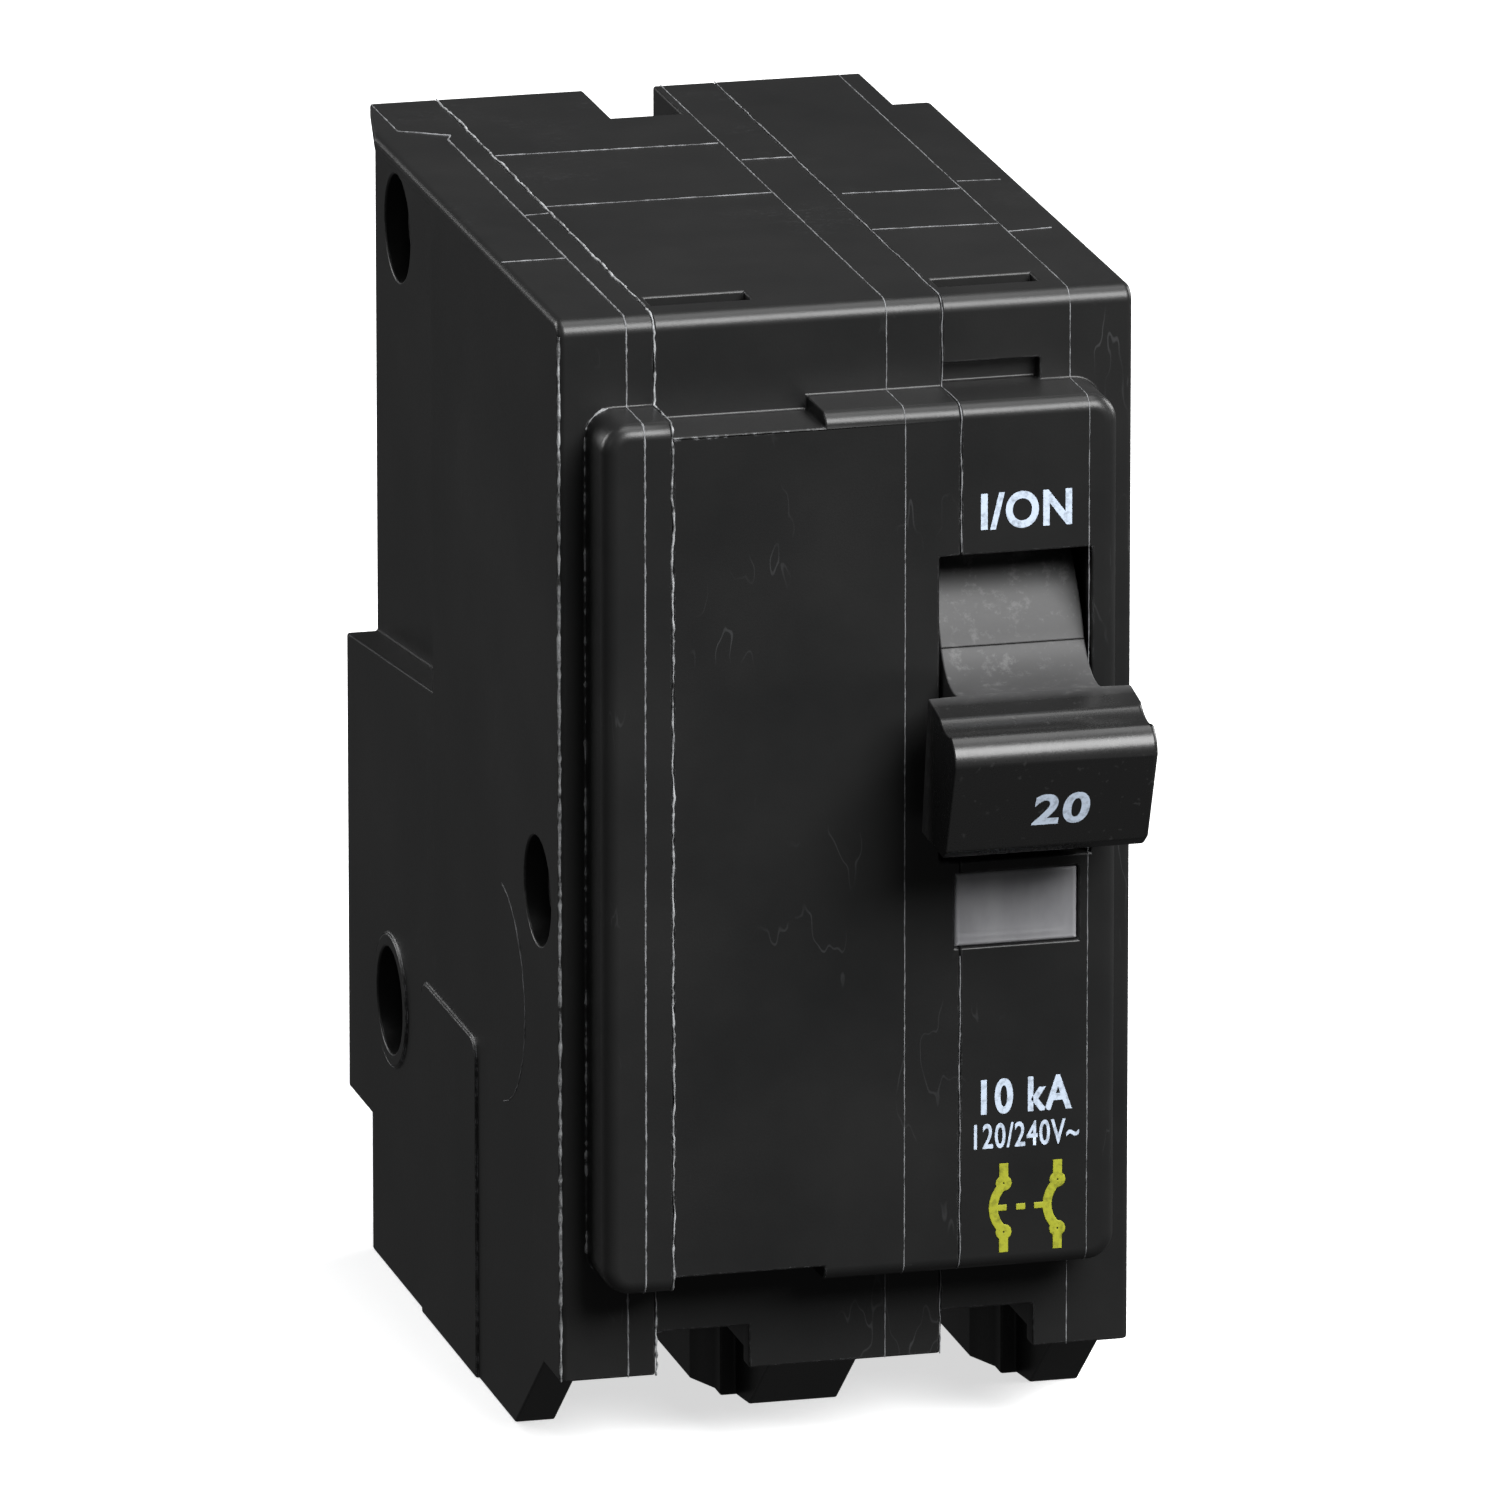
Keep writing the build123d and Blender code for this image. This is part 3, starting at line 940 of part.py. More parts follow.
def make_braid(pole, side):
    """The flexible copper braid from the contact arm to the bimetal."""
    middle = mech_x(pole)
    joint = polar(PIVOT, CRANK_LENGTH, CRANK_ANGLE)
    root = polar(joint, BRAID_AT, ARM_ANGLE_OFF)
    face_y = root[0] + ARM_THICK / 2 + BRAID_SET
    end_y = STRAP_FACE_Y + STRAP_THICK - 0.02
    points = [(middle + 1.2, face_y, root[1]), (middle + 2.2, face_y + 4.2, root[1] - 0.6),
              (middle + 3.4, face_y + 7.2, root[1] - 6.5), (middle + 3.4, face_y + 8.4, root[1] - 14.5),
              (middle + 3.5, face_y + 8.2, root[1] - 22.0), (middle + 3.5, end_y - 4.0, BIMETAL_TOP - 2.0),
              (middle + 3.5, end_y, BIMETAL_TOP - 2.0)]
    radii = []
    for before, here, after in zip(points, points[1:], points[2:]):
        first, second = Vector(*here) - Vector(*before), Vector(*after) - Vector(*here)
        turn = radians(first.get_angle(second))
        radii.append(0.45 * min(first.length, second.length) / (sin(turn / 2) / cos(turn / 2)))
    path = FilletPolyline(*points, radius=radii)
    start = Plane(origin=points[0], z_dir=(Vector(*points[1]) - Vector(*points[0])))
    tube = sweep(start * Circle(BRAID_RADIUS), path=path)
    print("braid", side, "radii", [round(r, 1) for r in radii], "length", round(path.length, 1),
          "volume ratio", round(tube.volume / (pi * BRAID_RADIUS ** 2 * path.length), 3))
    keep("flex_braid_" + side, tube)


make_case()
make_rivets()
make_lens()
make_handle()
make_trip_bar()
make_flag()
for pole, side in enumerate(("left", "right")):
    make_arm(pole, side)
    make_line_side(pole, side)
    make_arc_chute(pole, side)
    make_cradle(pole, side)
    make_toggle_spring(pole, side)
    make_trip_unit(pole, side)
    make_load_side(pole, side)
    make_braid(pole, side)

for name, shape in NODES.items():
    export_step(shape, "parts/" + name + ".step")
print(len(NODES), "nodes written")
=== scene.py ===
"""The looks of a two-pole plug-on circuit breaker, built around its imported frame, in metres."""
import math

import bmesh
import bpy
from mathutils import Matrix, Vector, noise


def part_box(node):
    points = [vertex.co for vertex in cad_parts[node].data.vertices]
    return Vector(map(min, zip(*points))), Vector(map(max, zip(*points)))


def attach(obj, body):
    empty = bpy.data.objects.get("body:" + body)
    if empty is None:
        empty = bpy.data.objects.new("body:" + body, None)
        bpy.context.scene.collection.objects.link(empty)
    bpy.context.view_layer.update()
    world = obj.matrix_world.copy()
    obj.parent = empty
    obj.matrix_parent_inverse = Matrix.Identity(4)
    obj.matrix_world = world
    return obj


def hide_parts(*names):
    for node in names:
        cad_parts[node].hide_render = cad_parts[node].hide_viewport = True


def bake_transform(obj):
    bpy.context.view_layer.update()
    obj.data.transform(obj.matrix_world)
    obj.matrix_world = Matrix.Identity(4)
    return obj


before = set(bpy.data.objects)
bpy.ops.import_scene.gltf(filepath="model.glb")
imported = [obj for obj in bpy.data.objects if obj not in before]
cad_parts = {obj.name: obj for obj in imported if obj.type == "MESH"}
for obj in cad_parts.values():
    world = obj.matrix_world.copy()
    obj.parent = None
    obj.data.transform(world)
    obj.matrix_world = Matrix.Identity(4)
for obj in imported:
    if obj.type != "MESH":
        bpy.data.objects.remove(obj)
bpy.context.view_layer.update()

# ---------------------------------------------------------------- floor, camera and light
# The breaker stands on a plain pale sweep under a weak soft box, with the main one in front, and
# cards on the left and behind. The camera looks down a little from the front left, through a long lens.
MM = 0.001
scene = bpy.context.scene
scene.view_settings.view_transform = "Standard"
world = bpy.data.worlds.new("studio")
world.use_nodes = True
world.node_tree.nodes["Background"].inputs["Color"].default_value = (0.97, 0.975, 0.98, 1)
world.node_tree.nodes["Background"].inputs["Strength"].default_value = 0.06
scene.world = world

SIGHT = Vector((0.2412, 0.9313, -0.2731)).normalized()
EYE = Vector((-338.9, -1310.4, 425.2)) * MM
camera = bpy.data.objects.new("camera", bpy.data.cameras.new("camera"))
camera.data.lens = 516.1
camera.data.sensor_width = 36
camera.data.shift_x = -0.012
camera.data.shift_y = 0.0072
camera.data.clip_end = 20
camera.location = EYE
camera.rotation_euler = SIGHT.to_track_quat("-Z", "Y").to_euler()
scene.collection.objects.link(camera)
scene.camera = camera


def soft_box(name, place, aim, size, watts):
    """A rectangular area light at a place, aimed at a point; the size is in metres."""
    lamp = bpy.data.lights.new(name, "AREA")
    lamp.shape = "RECTANGLE"
    lamp.size, lamp.size_y = size
    lamp.energy = watts
    holder = bpy.data.objects.new(name, lamp)
    holder.location = place
    holder.rotation_euler = (Vector(aim) - Vector(place)).to_track_quat("-Z", "Y").to_euler()
    scene.collection.objects.link(holder)


middle = Vector((0, 0, 0.04))
soft_box("top_box", (0.05, -0.04, 0.8), middle, (0.55, 0.45), 3)
soft_box("front_box", (0.36, -0.74, 0.74), middle, (0.7, 0.55), 20)
soft_box("left_card", (-0.9, -0.35, 0.5), middle, (0.3, 0.5), 0.4)
soft_box("back_left_card", (-0.75, 0.8, 0.35), middle, (0.5, 0.5), 4.5)
soft_box("back_right_card", (0.95, 0.35, 0.35), middle, (0.5, 0.5), 6)


def shape(name, build):
    """A new piece whose mesh is made by a function that fills a bmesh."""
    mesh = bpy.data.meshes.new(name)
    work = bmesh.new()
    build(work)
    work.to_mesh(mesh)
    work.free()
    piece = bpy.data.objects.new(name, mesh)
    scene.collection.objects.link(piece)
    return piece


def floor_plane(work):
    bmesh.ops.create_grid(work, x_segments=1, y_segments=1, size=6)


floor = shape("floor", floor_plane)
floor.visible_glossy = False       # black plastic would mirror it
floor.visible_diffuse = False


class Wire:
    """One output of a shader node, on which arithmetic adds Math nodes."""

    def __init__(self, finish, socket):
        self.finish = finish
        self.socket = socket

    def maths(self, operation, left, right=0.0, clamp=False):
        settings = {"operation": operation, "use_clamp": clamp}
        return self.finish.add("ShaderNodeMath", settings, {0: left, 1: right})

    def __add__(self, other):
        return self.maths("ADD", self, other)

    def __sub__(self, other):
        return self.maths("SUBTRACT", self, other)

    def __rsub__(self, other):
        return self.maths("SUBTRACT", other, self)

    def __mul__(self, other):
        return self.maths("MULTIPLY", self, other)

    def clamp(self):
        return self.maths("ADD", self, 0.0, clamp=True)

    def above(self, level, spread):
        """0 below a level and 1 above it, with a soft change between."""
        return ((self - level) * (1 / spread) + 0.5).clamp()

    __radd__ = __add__
    __rmul__ = __mul__


class Finish:
    """One material, built node by node round a Principled shader."""

    def __init__(self, name):
        self.material = bpy.data.materials.new(name)
        self.material.use_nodes = True
        self.tree = self.material.node_tree
        self.tree.nodes.clear()
        self.place = self.add("ShaderNodeTexCoord", {}, {}, "Object")

    def add(self, kind, settings, inputs, output=0):
        """Adds a node, sets it, joins or sets its inputs and gives one of its outputs."""
        node = self.tree.nodes.new(kind)
        for key, value in settings.items():
            setattr(node, key, value)
        for key, value in inputs.items():
            if isinstance(value, Wire):
                self.tree.links.new(value.socket, node.inputs[key])
            else:
                node.inputs[key].default_value = value
        return Wire(self, node.outputs[output])

    def grain(self, size, detail=3.0, roughness=0.5, stretch=None):
        """Noise with features of about a size in metres, from 0 to 1."""
        place = self.place
        if stretch:
            place = self.add("ShaderNodeMapping", {}, {"Vector": place, "Scale": stretch})
        return self.add("ShaderNodeTexNoise", {}, {"Vector": place, "Scale": 1 / size, "Detail": detail,
                                                   "Roughness": roughness})

    def along(self, axis):
        """The distance along X, Y or Z, in metres."""
        return self.add("ShaderNodeSeparateXYZ", {}, {"Vector": self.place}, axis)

    def mix(self, amount, low, high):
        """A colour between two colours or colour wires."""
        ends = [end if isinstance(end, Wire) else (*end, 1) for end in (low, high)]
        return self.add("ShaderNodeMix", {"data_type": "RGBA"}, {0: amount, 6: ends[0], 7: ends[1]}, 2)

    def bump(self, height, depth, strength=1.0):
        """A normal from a height wire; depth is in metres."""
        return self.add("ShaderNodeBump", {}, {"Height": height, "Distance": depth, "Strength": strength})

    def edges(self, radius):
        """How strongly the surface turns within a radius: 0 on a flat, towards 1 at an edge."""
        rounded = self.add("ShaderNodeBevel", {"samples": 6}, {"Radius": radius})
        normal = self.add("ShaderNodeNewGeometry", {}, {}, "Normal")
        dot = {"operation": "DOT_PRODUCT"}
        return 1 - self.add("ShaderNodeVectorMath", dot, {0: rounded, 1: normal}, "Value")

    def surface(self, **sockets):
        """Ends the material in a Principled shader."""
        inputs = {key.replace("_", " "): value for key, value in sockets.items()}
        shader = self.add("ShaderNodeBsdfPrincipled", {}, inputs)
        output = self.tree.nodes.new("ShaderNodeOutputMaterial")
        self.tree.links.new(shader.socket, output.inputs["Surface"])
        return self.material


def dress(piece, material):
    """Gives a piece one material all over."""
    piece.data.materials.clear()
    piece.data.materials.append(material)
    return piece


def paper_white():
    finish = Finish("paper_sweep")
    tone = finish.mix(finish.grain(0.3), (0.86, 0.862, 0.865), (0.9, 0.9, 0.9))
    return finish.surface(Base_Color=tone, Roughness=0.9, Emission_Color=tone, Emission_Strength=0.75)


dress(floor, paper_white())

# ---------------------------------------------------------------- case mouldings
# Left cover, centre case and right case are compression-moulded black thermoset, satin, with a
# fine grain, softened edges, cloudy flow marks, hairline scratches and pale grey on the edges that is
# partly bruising and partly a painted highlight on the rounded edges.
EDGE_SOFTNESS = 0.16 * MM
EDGE_STEPS = 2
SHARPEST_FLAT = math.radians(32)     # edges that turn by less stay as they are
SAME_PLACE = 0.001 * MM
CASE_BLACK = (0.0105, 0.0108, 0.011)
CASE_CLOUD = (0.0165, 0.0165, 0.0163)
# pale grey of scratches and bruises, also used as the painted edge highlight
WEAR_AND_HIGHLIGHT_GREY = (0.27, 0.275, 0.285)


def black_thermoset(name, dark, cloud, roughness, bruise_and_highlight_amount):
    finish = Finish(name)
    clouds = finish.grain(14 * MM, 4.0, 0.6)
    fine = finish.grain(0.16 * MM, 2.0)
    speckle = finish.grain(0.7 * MM, 4.0, 0.7)
    scratch = finish.grain(2.2 * MM, 2.0, 0.5, (1.0, 9.0, 0.35))
    scratched = finish.grain(9 * MM).above(0.62, 0.1)
    hairline = (1 - (scratch - 0.5) * (scratch - 0.5) * 9000.0).clamp() * scratched
    # Pale grey along the edges: partly bruises, partly a painted highlight where the rounded edges catch
    # the light.
    bruises_and_highlights = finish.edges(0.22 * MM).above(0.055, 0.05) * speckle.above(0.53, 0.12) * bruise_and_highlight_amount
    tone = finish.mix(clouds.above(0.5, 0.5), dark, cloud)
    tone = finish.mix(hairline * 0.10, tone, WEAR_AND_HIGHLIGHT_GREY)
    tone = finish.mix(bruises_and_highlights.clamp(), tone, WEAR_AND_HIGHLIGHT_GREY)
    gloss = (roughness + (clouds - 0.5) * 0.16 + (fine - 0.5) * 0.08 + bruises_and_highlights * 0.25).clamp()
    relief = finish.bump(fine * 0.7 + speckle * 0.3, 0.012 * MM, 0.5)
    return finish.surface(Base_Color=tone, Roughness=gloss, Normal=relief, Specular_IOR_Level=0.42)


case_black = black_thermoset("case_black", CASE_BLACK, CASE_CLOUD, 0.36, 0.9)


def softened(node, name, width, material, body):
    """A merged copy of a CAD piece with its edges rounded off, in place of the sharp one."""
    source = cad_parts[node]

    def merged(work):
        work.from_mesh(source.data)
        bmesh.ops.remove_doubles(work, verts=work.verts, dist=SAME_PLACE)
        bmesh.ops.dissolve_limit(work, angle_limit=math.radians(0.8), verts=work.verts, edges=work.edges)

    piece = dress(shape(name, merged), material)
    for face in piece.data.polygons:
        face.use_smooth = True
    rounding = piece.modifiers.new("rounding", "BEVEL")
    rounding.width = width
    rounding.segments = EDGE_STEPS
    rounding.limit_method = "ANGLE"
    rounding.angle_limit = SHARPEST_FLAT
    rounding.use_clamp_overlap = False
    flats = piece.modifiers.new("flats", "WEIGHTED_NORMAL")
    flats.keep_sharp = True
    flats.weight = 100
    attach(piece, body)
    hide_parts(node)
    return piece


mouldings = {node: softened(node, node + "_moulding", EDGE_SOFTNESS, case_black, "case")
             for node in ("left_cover", "center_case", "right_case")}

# ---------------------------------------------------------------- moulding lines
# Where the mouldings meet, and where their moulds were split, a hairline of pale flash stands on
# the plastic. It is ragged where it was broken off and runs over the top and down the whole front.
# Round the panel's left side and down the front-left edge the brighter flash is partly a painted
# edge highlight.
PANEL_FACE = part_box("center_case")[0].y
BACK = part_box("center_case")[1].y
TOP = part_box("center_case")[1].z
POLE = 19.05 * MM                    # one pole space
LEFT = -POLE
SHOULDER = PANEL_FACE + 4.8 * MM
SHOULDER_FOOT = 6.5 * MM
PANEL_TOP = TOP - 5.9 * MM
PANEL_FOOT = SHOULDER_FOOT + 6.95 * MM
COVER_JOINT = LEFT + 6.35 * MM
BASE_JOINT = COVER_JOINT + POLE
WITNESS_RING = (16.75 * MM, 28.45 * MM, 7.5 * MM)   # place behind the shoulder, height, radius
FLASH_STEP = 0.35 * MM
FLASH_DULL = (0.07, 0.07, 0.073)
FLASH_GREY = (0.26, 0.265, 0.275)
# bright grey of flash, which on the edges also stands for a painted edge highlight
FLASH_AND_EDGE_HIGHLIGHT_GREY = (0.42, 0.43, 0.44)
FLASH_SEED = 7
noise.seed_set(FLASH_SEED)           # unseeded noise would change from run to run


def flash_grey(name, gaps, dull, bright):
    finish = Finish(name)
    broken = finish.grain(1.1 * MM, 5.0, 0.75)
    return finish.surface(Base_Color=finish.mix(broken.above(gaps, 0.2), dull, bright), Roughness=0.7)


pale_flash = flash_grey("pale_flash", 0.45, FLASH_DULL, FLASH_GREY)
bright_flash_and_edge_highlight = flash_grey("bright_flash_and_edge_highlight", 0.47, CASE_CLOUD, FLASH_AND_EDGE_HIGHLIGHT_GREY)
dotted_flash = flash_grey("dotted_flash", 0.58, CASE_CLOUD, FLASH_GREY)


def turn(centre, radius, start, stop, steps=5):
    """Points of an arc in the Y-Z plane, angles in degrees from +Y towards +Z."""
    angles = [math.radians(start + (stop - start) * step / steps) for step in range(steps + 1)]
    return [(centre[0] + radius * math.cos(a), centre[1] + radius * math.sin(a)) for a in angles]


def front_profile(x, back=BACK):
    """The outline of the case at one place across it, from the back of the top to the front's foot."""
    bend, nose = 1.1 * MM, 1.0 * MM
    path = [(back, TOP)] + turn((SHOULDER + bend, TOP - bend), bend, 90, 180)
    path += [(SHOULDER, PANEL_TOP)] + turn((PANEL_FACE + nose, PANEL_TOP - nose), nose, 90, 180)
    path += turn((PANEL_FACE + nose, PANEL_FOOT + nose), nose, 180, 270)
    path += [(SHOULDER, PANEL_FOOT), (SHOULDER, SHOULDER_FOOT)]
    return [Vector((x, y, z)) for y, z in path]


def spaced(points, step):
    """The same path with points every step."""
    path = [points[0]]
    for before, after in zip(points, points[1:]):
        count = max(1, round((after - before).length / step))
        path += [before.lerp(after, k / count) for k in range(1, count + 1)]
    return path


def flash(name, points, width, wander, hide=(), finish=pale_flash):
    """A hairline ridge along a path, ragged by a wander; hide gives heights where it is absent."""
    runs, run = [], []
    for point in spaced(points, FLASH_STEP):
        if any(low < point.z < high and point.y < PANEL_FACE + 0.2 * MM for low, high in hide):
            runs, run = runs + [run], []
        else:
            run.append(point)
    curve = bpy.data.curves.new(name, "CURVE")
    curve.dimensions = "3D"
    curve.bevel_depth = width / 2
    curve.bevel_resolution = 0
    for run in runs + [run]:
        if len(run) < 3:
            continue
        spline = curve.splines.new("POLY")
        spline.points.add(len(run) - 1)
        for knot, point in zip(spline.points, run):
            shake = noise.noise_vector(point * 2500 + Vector((len(name), 0, 0)))
            drift = noise.noise_vector(point * 500)
            aside = Vector((shake.x * 0.5 + drift.x, 0, 0)) * wander
            if abs(points[0].x - points[-1].x) > 2 * MM:
                aside = Vector((0, shake.y * 0.5 + drift.y, 0)) * wander
            knot.co = (*(point + aside), 1)
            knot.radius = min(1.3, max(0.45, 0.9 + 1.1 * shake.z))
    holder = bpy.data.objects.new(name + "_path", curve)
    scene.collection.objects.link(holder)
    mesh = bpy.data.meshes.new_from_object(holder)
    bpy.data.objects.remove(holder)
    mesh.name = name
    piece = bpy.data.objects.new(name, mesh)
    scene.collection.objects.link(piece)
    dress(piece, finish)
    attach(piece, "case")


handle_and_window = [(35.1 * MM, 40.5 * MM), (40.9 * MM, 61.7 * MM)]
flash("flash_cover_joint", front_profile(COVER_JOINT), 0.17 * MM, 0.13 * MM, finish=bright_flash_and_edge_highlight)
flash("flash_base_joint", front_profile(BASE_JOINT), 0.10 * MM, 0.07 * MM, hide=handle_and_window)
flash("flash_cover_split", front_profile(LEFT + 4.5 * MM, back=SHOULDER + 48 * MM), 0.15 * MM, 0.02 * MM)
flash("flash_centre_split", front_profile(LEFT + 21.7 * MM), 0.09 * MM, 0.02 * MM)
flash("flash_base_split", front_profile(LEFT + 33.9 * MM), 0.08 * MM, 0.02 * MM)
panel_left, panel_round = LEFT + 1.8 * MM, 1.8 * MM
corner_top = turn((panel_left + panel_round, PANEL_TOP - panel_round), panel_round, 180, 90)
corner_foot = turn((panel_left + panel_round, PANEL_FOOT + panel_round), panel_round, 270, 180)
panel_side = [Vector((x, SHOULDER, z)) for x, z in corner_foot + corner_top]
# The bright line round the panel's left side is partly flash, partly a painted edge highlight.
flash("flash_panel_side", panel_side, 0.24 * MM, 0.06 * MM, finish=bright_flash_and_edge_highlight)
side_edge = [Vector((LEFT + 0.08 * MM, SHOULDER + 0.15 * MM, z)) for z in (TOP - 1.0 * MM, SHOULDER_FOOT)]
# The bright line down the front-left edge is partly flash, partly a painted edge highlight.
flash("flash_side_edge", side_edge, 0.24 * MM, 0.05 * MM, finish=bright_flash_and_edge_highlight)


def on_top(*places):
    """Points on the top; places are from the left side and from the shoulder face, in mm."""
    return [Vector((LEFT + x * MM, SHOULDER + y * MM, TOP)) for x, y in places]


flash("flash_cover_kink", on_top((1.8, 58.4), (1.8, 51.0), (4.9, 49.0), (4.5, 48.0)), 0.11 * MM, 0.02 * MM)
witness = turn((SHOULDER + WITNESS_RING[0], WITNESS_RING[1]), WITNESS_RING[2], 100, 258, 14)
flash("flash_witness_ring", [Vector((LEFT, y, z)) for y, z in witness], 0.10 * MM, 0.02 * MM)


def top_line(name, start, end):
    """A hairline across the top between two places."""
    flash(name, on_top(start, end), 0.08 * MM, 0.03 * MM)


top_line("top_line_1", (6.5, 43.0), (21.5, 42.6))
top_line("top_line_2", (6.5, 29.1), (21.6, 29.0))
top_line("top_line_3", (0.2, 15.8), (4.4, 15.8))
top_line("top_line_4", (4.5, 27.2), (6.2, 27.4))
top_line("top_line_5", (21.9, 37.9), (25.3, 37.8))
top_line("top_line_6", (26.0, 27.6), (33.8, 27.0))
top_line("top_line_7", (34.1, 28.9), (37.0, 28.6))
top_line("top_line_8", (25.5, 18.0), (33.8, 17.5))
top_line("top_line_9", (33.9, 15.3), (36.9, 15.6))

# ---------------------------------------------------------------- handle
# The handle is one black moulding, a shade greyer and smoother than the case. Its paddle is
# polished by use at the front, and its neck and drum are dull and scuffed on the upward faces, and
# painted a paler grey as a painted sheen of the light from above.
HANDLE_BLACK = (0.0145, 0.0145, 0.0145)
# paler grey of the neck and drum: a painted sheen of the overhead light
HANDLE_SHEEN_GREY = (0.062, 0.062, 0.063)
SCUFF_GREY = (0.15, 0.15, 0.15)
NECK_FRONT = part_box("handle")[0].y + 6.2 * MM


def scuffed_handle_with_sheen():
    finish = Finish("handle_black")
    neck = finish.along("Y").above(NECK_FRONT, 1.5 * MM)
    clouds = finish.grain(5 * MM, 5.0, 0.65)
    fine = finish.grain(0.2 * MM, 3.0, 0.6)
    scuffs = finish.grain(1.1 * MM, 6.0, 0.75).above(0.60, 0.12) * neck
    dust = finish.grain(0.5 * MM, 2.0).above(0.70, 0.05)
    # Neck and drum are painted a paler grey: a painted sheen standing for the overhead light's reflection.
    tone = finish.mix(neck * (0.55 + clouds * 0.6).clamp(), HANDLE_BLACK, HANDLE_SHEEN_GREY)
    tone = finish.mix((scuffs * 0.5 + dust * 0.12).clamp(), tone, SCUFF_GREY)
    gloss = (0.27 + neck * 0.30 + (clouds - 0.5) * 0.15 + (fine - 0.5) * 0.08).clamp()
    relief = finish.bump(fine * 0.6 + clouds * 0.4, 0.012 * MM, 0.4)
    return finish.surface(Base_Color=tone, Roughness=gloss, Normal=relief, Specular_IOR_Level=0.45)


handle_black = scuffed_handle_with_sheen()
handle = softened("handle", "toggle_handle", 0.12 * MM, handle_black, "handle")

# ---------------------------------------------------------------- printed markings
# Generic markings are pad-printed on the front panel and on the paddle: the on mark, the current
# and voltage ratings in pale blue-white ink, and a plain two-pole breaker symbol in yellow-green.
PALE_INK = (0.62, 0.72, 0.86)
GREEN_INK = (0.40, 0.42, 0.028)
INK_STAND = 0.02 * MM
LETTER_SPACE = 1.10
PADDLE_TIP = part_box("handle")[0].y
PADDLE_BROW = 50.25 * MM
PADDLE_SLOPE = 2.3 / 6.1             # how far the face falls back for each step up


def ink(name, colour):
    finish = Finish(name)
    patchy = finish.grain(0.35 * MM, 3.0, 0.6)
    thin = tuple(c * 0.55 for c in colour)
    return finish.surface(Base_Color=finish.mix(patchy.above(0.40, 0.25), thin, colour), Roughness=0.55)


pale_ink = ink("pale_ink", PALE_INK)
green_ink = ink("green_ink", GREEN_INK)


def printed(name, words, low, high, place, material, body, weight=0.0, slant=0.0):
    """Text that fills a box on a surface; low and high are across and up, in metres, and place
    puts a point of the box onto the surface."""
    text = bpy.data.curves.new(name, "FONT")
    text.body = words
    text.offset = weight
    text.space_character = LETTER_SPACE
    text.shear = slant
    holder = bpy.data.objects.new(name + "_text", text)
    scene.collection.objects.link(holder)
    mesh = bpy.data.meshes.new_from_object(holder)
    bpy.data.objects.remove(holder)
    mesh.name = name
    low_x, high_x = min(v.co.x for v in mesh.vertices), max(v.co.x for v in mesh.vertices)
    low_y, high_y = min(v.co.y for v in mesh.vertices), max(v.co.y for v in mesh.vertices)
    across, up = (high[0] - low[0]) / (high_x - low_x), (high[1] - low[1]) / (high_y - low_y)
    for v in mesh.vertices:
        v.co = place(low[0] + (v.co.x - low_x) * across, low[1] + (v.co.y - low_y) * up)
    piece = bpy.data.objects.new(name, mesh)
    scene.collection.objects.link(piece)
    dress(piece, material)
    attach(piece, body)


def on_panel(x, z):
    return Vector((x, PANEL_FACE - INK_STAND, z))


printed("print_on", "I/ON", (7.66 * MM, 63.1 * MM), (13.71 * MM, 65.55 * MM), on_panel, pale_ink,
        "case", 0.032)
printed("print_capacity", "10 kA", (7.77 * MM, 23.95 * MM), (13.86 * MM, 26.35 * MM), on_panel, pale_ink,
        "case", 0.030)
printed("print_voltage", "120/240V~", (7.31 * MM, 21.65 * MM), (14.34 * MM, 23.35 * MM), on_panel, pale_ink,
        "case", 0.016)


def on_paddle(x, z):
    return Vector((x, PADDLE_TIP + (PADDLE_BROW - z) * PADDLE_SLOPE - INK_STAND, z))


def stroke(points, width, closed=False):
    """The mesh of one line of ink; points are across and up, in mm."""
    curve = bpy.data.curves.new("stroke", "CURVE")
    curve.dimensions = "3D"
    curve.bevel_depth = width * MM / 2
    curve.use_fill_caps = True
    spline = curve.splines.new("POLY")
    spline.points.add(len(points) - 1)
    spline.use_cyclic_u = closed
    for knot, (x, z) in zip(spline.points, points):
        knot.co = (x * MM, 0, z * MM, 1)
    holder = bpy.data.objects.new("stroke", curve)
    scene.collection.objects.link(holder)
    mesh = bpy.data.meshes.new_from_object(holder)
    bpy.data.objects.remove(holder)
    return mesh


def breaker_symbol(work):
    """The drawing-office symbol of a two-pole breaker: two curved links with dots, tied by dashes."""
    strokes = []
    for x in (9.3, 12.9):
        bulge = turn((x + 1.35, 17.6), 2.05, 131, 229, 8)
        strokes.append(stroke([(x, 14.6), (x, 15.75)], 0.62))
        strokes.append(stroke([(x, 20.6), (x, 19.45)], 0.62))
        strokes.append(stroke(bulge, 0.62))
        strokes += [stroke(turn((x, z), 0.30, 0, 330, 11), 0.5, True) for z in (15.95, 19.25)]
    strokes += [stroke([(x, 17.6), (x + 0.6, 17.6)], 0.42) for x in (8.9, 10.15, 11.35)]
    for mesh in strokes:
        work.from_mesh(mesh)
    for vert in work.verts:
        vert.co.y = PANEL_FACE - INK_STAND + vert.co.y * 0.04


printed("print_current", "20", (8.75 * MM, 45.70 * MM), (12.52 * MM, 47.98 * MM), on_paddle, pale_ink,
        "handle", 0.03, 0.04)
symbol = dress(shape("print_symbol", breaker_symbol), green_ink)
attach(symbol, "case")

# ---------------------------------------------------------------- indicator window
# The window is a small pane of clear smoky plastic, with a frosted back that catches the light and a
# painted highlight round its rim. It is set into the right pole, and the red flag rises behind it
# when the breaker trips.


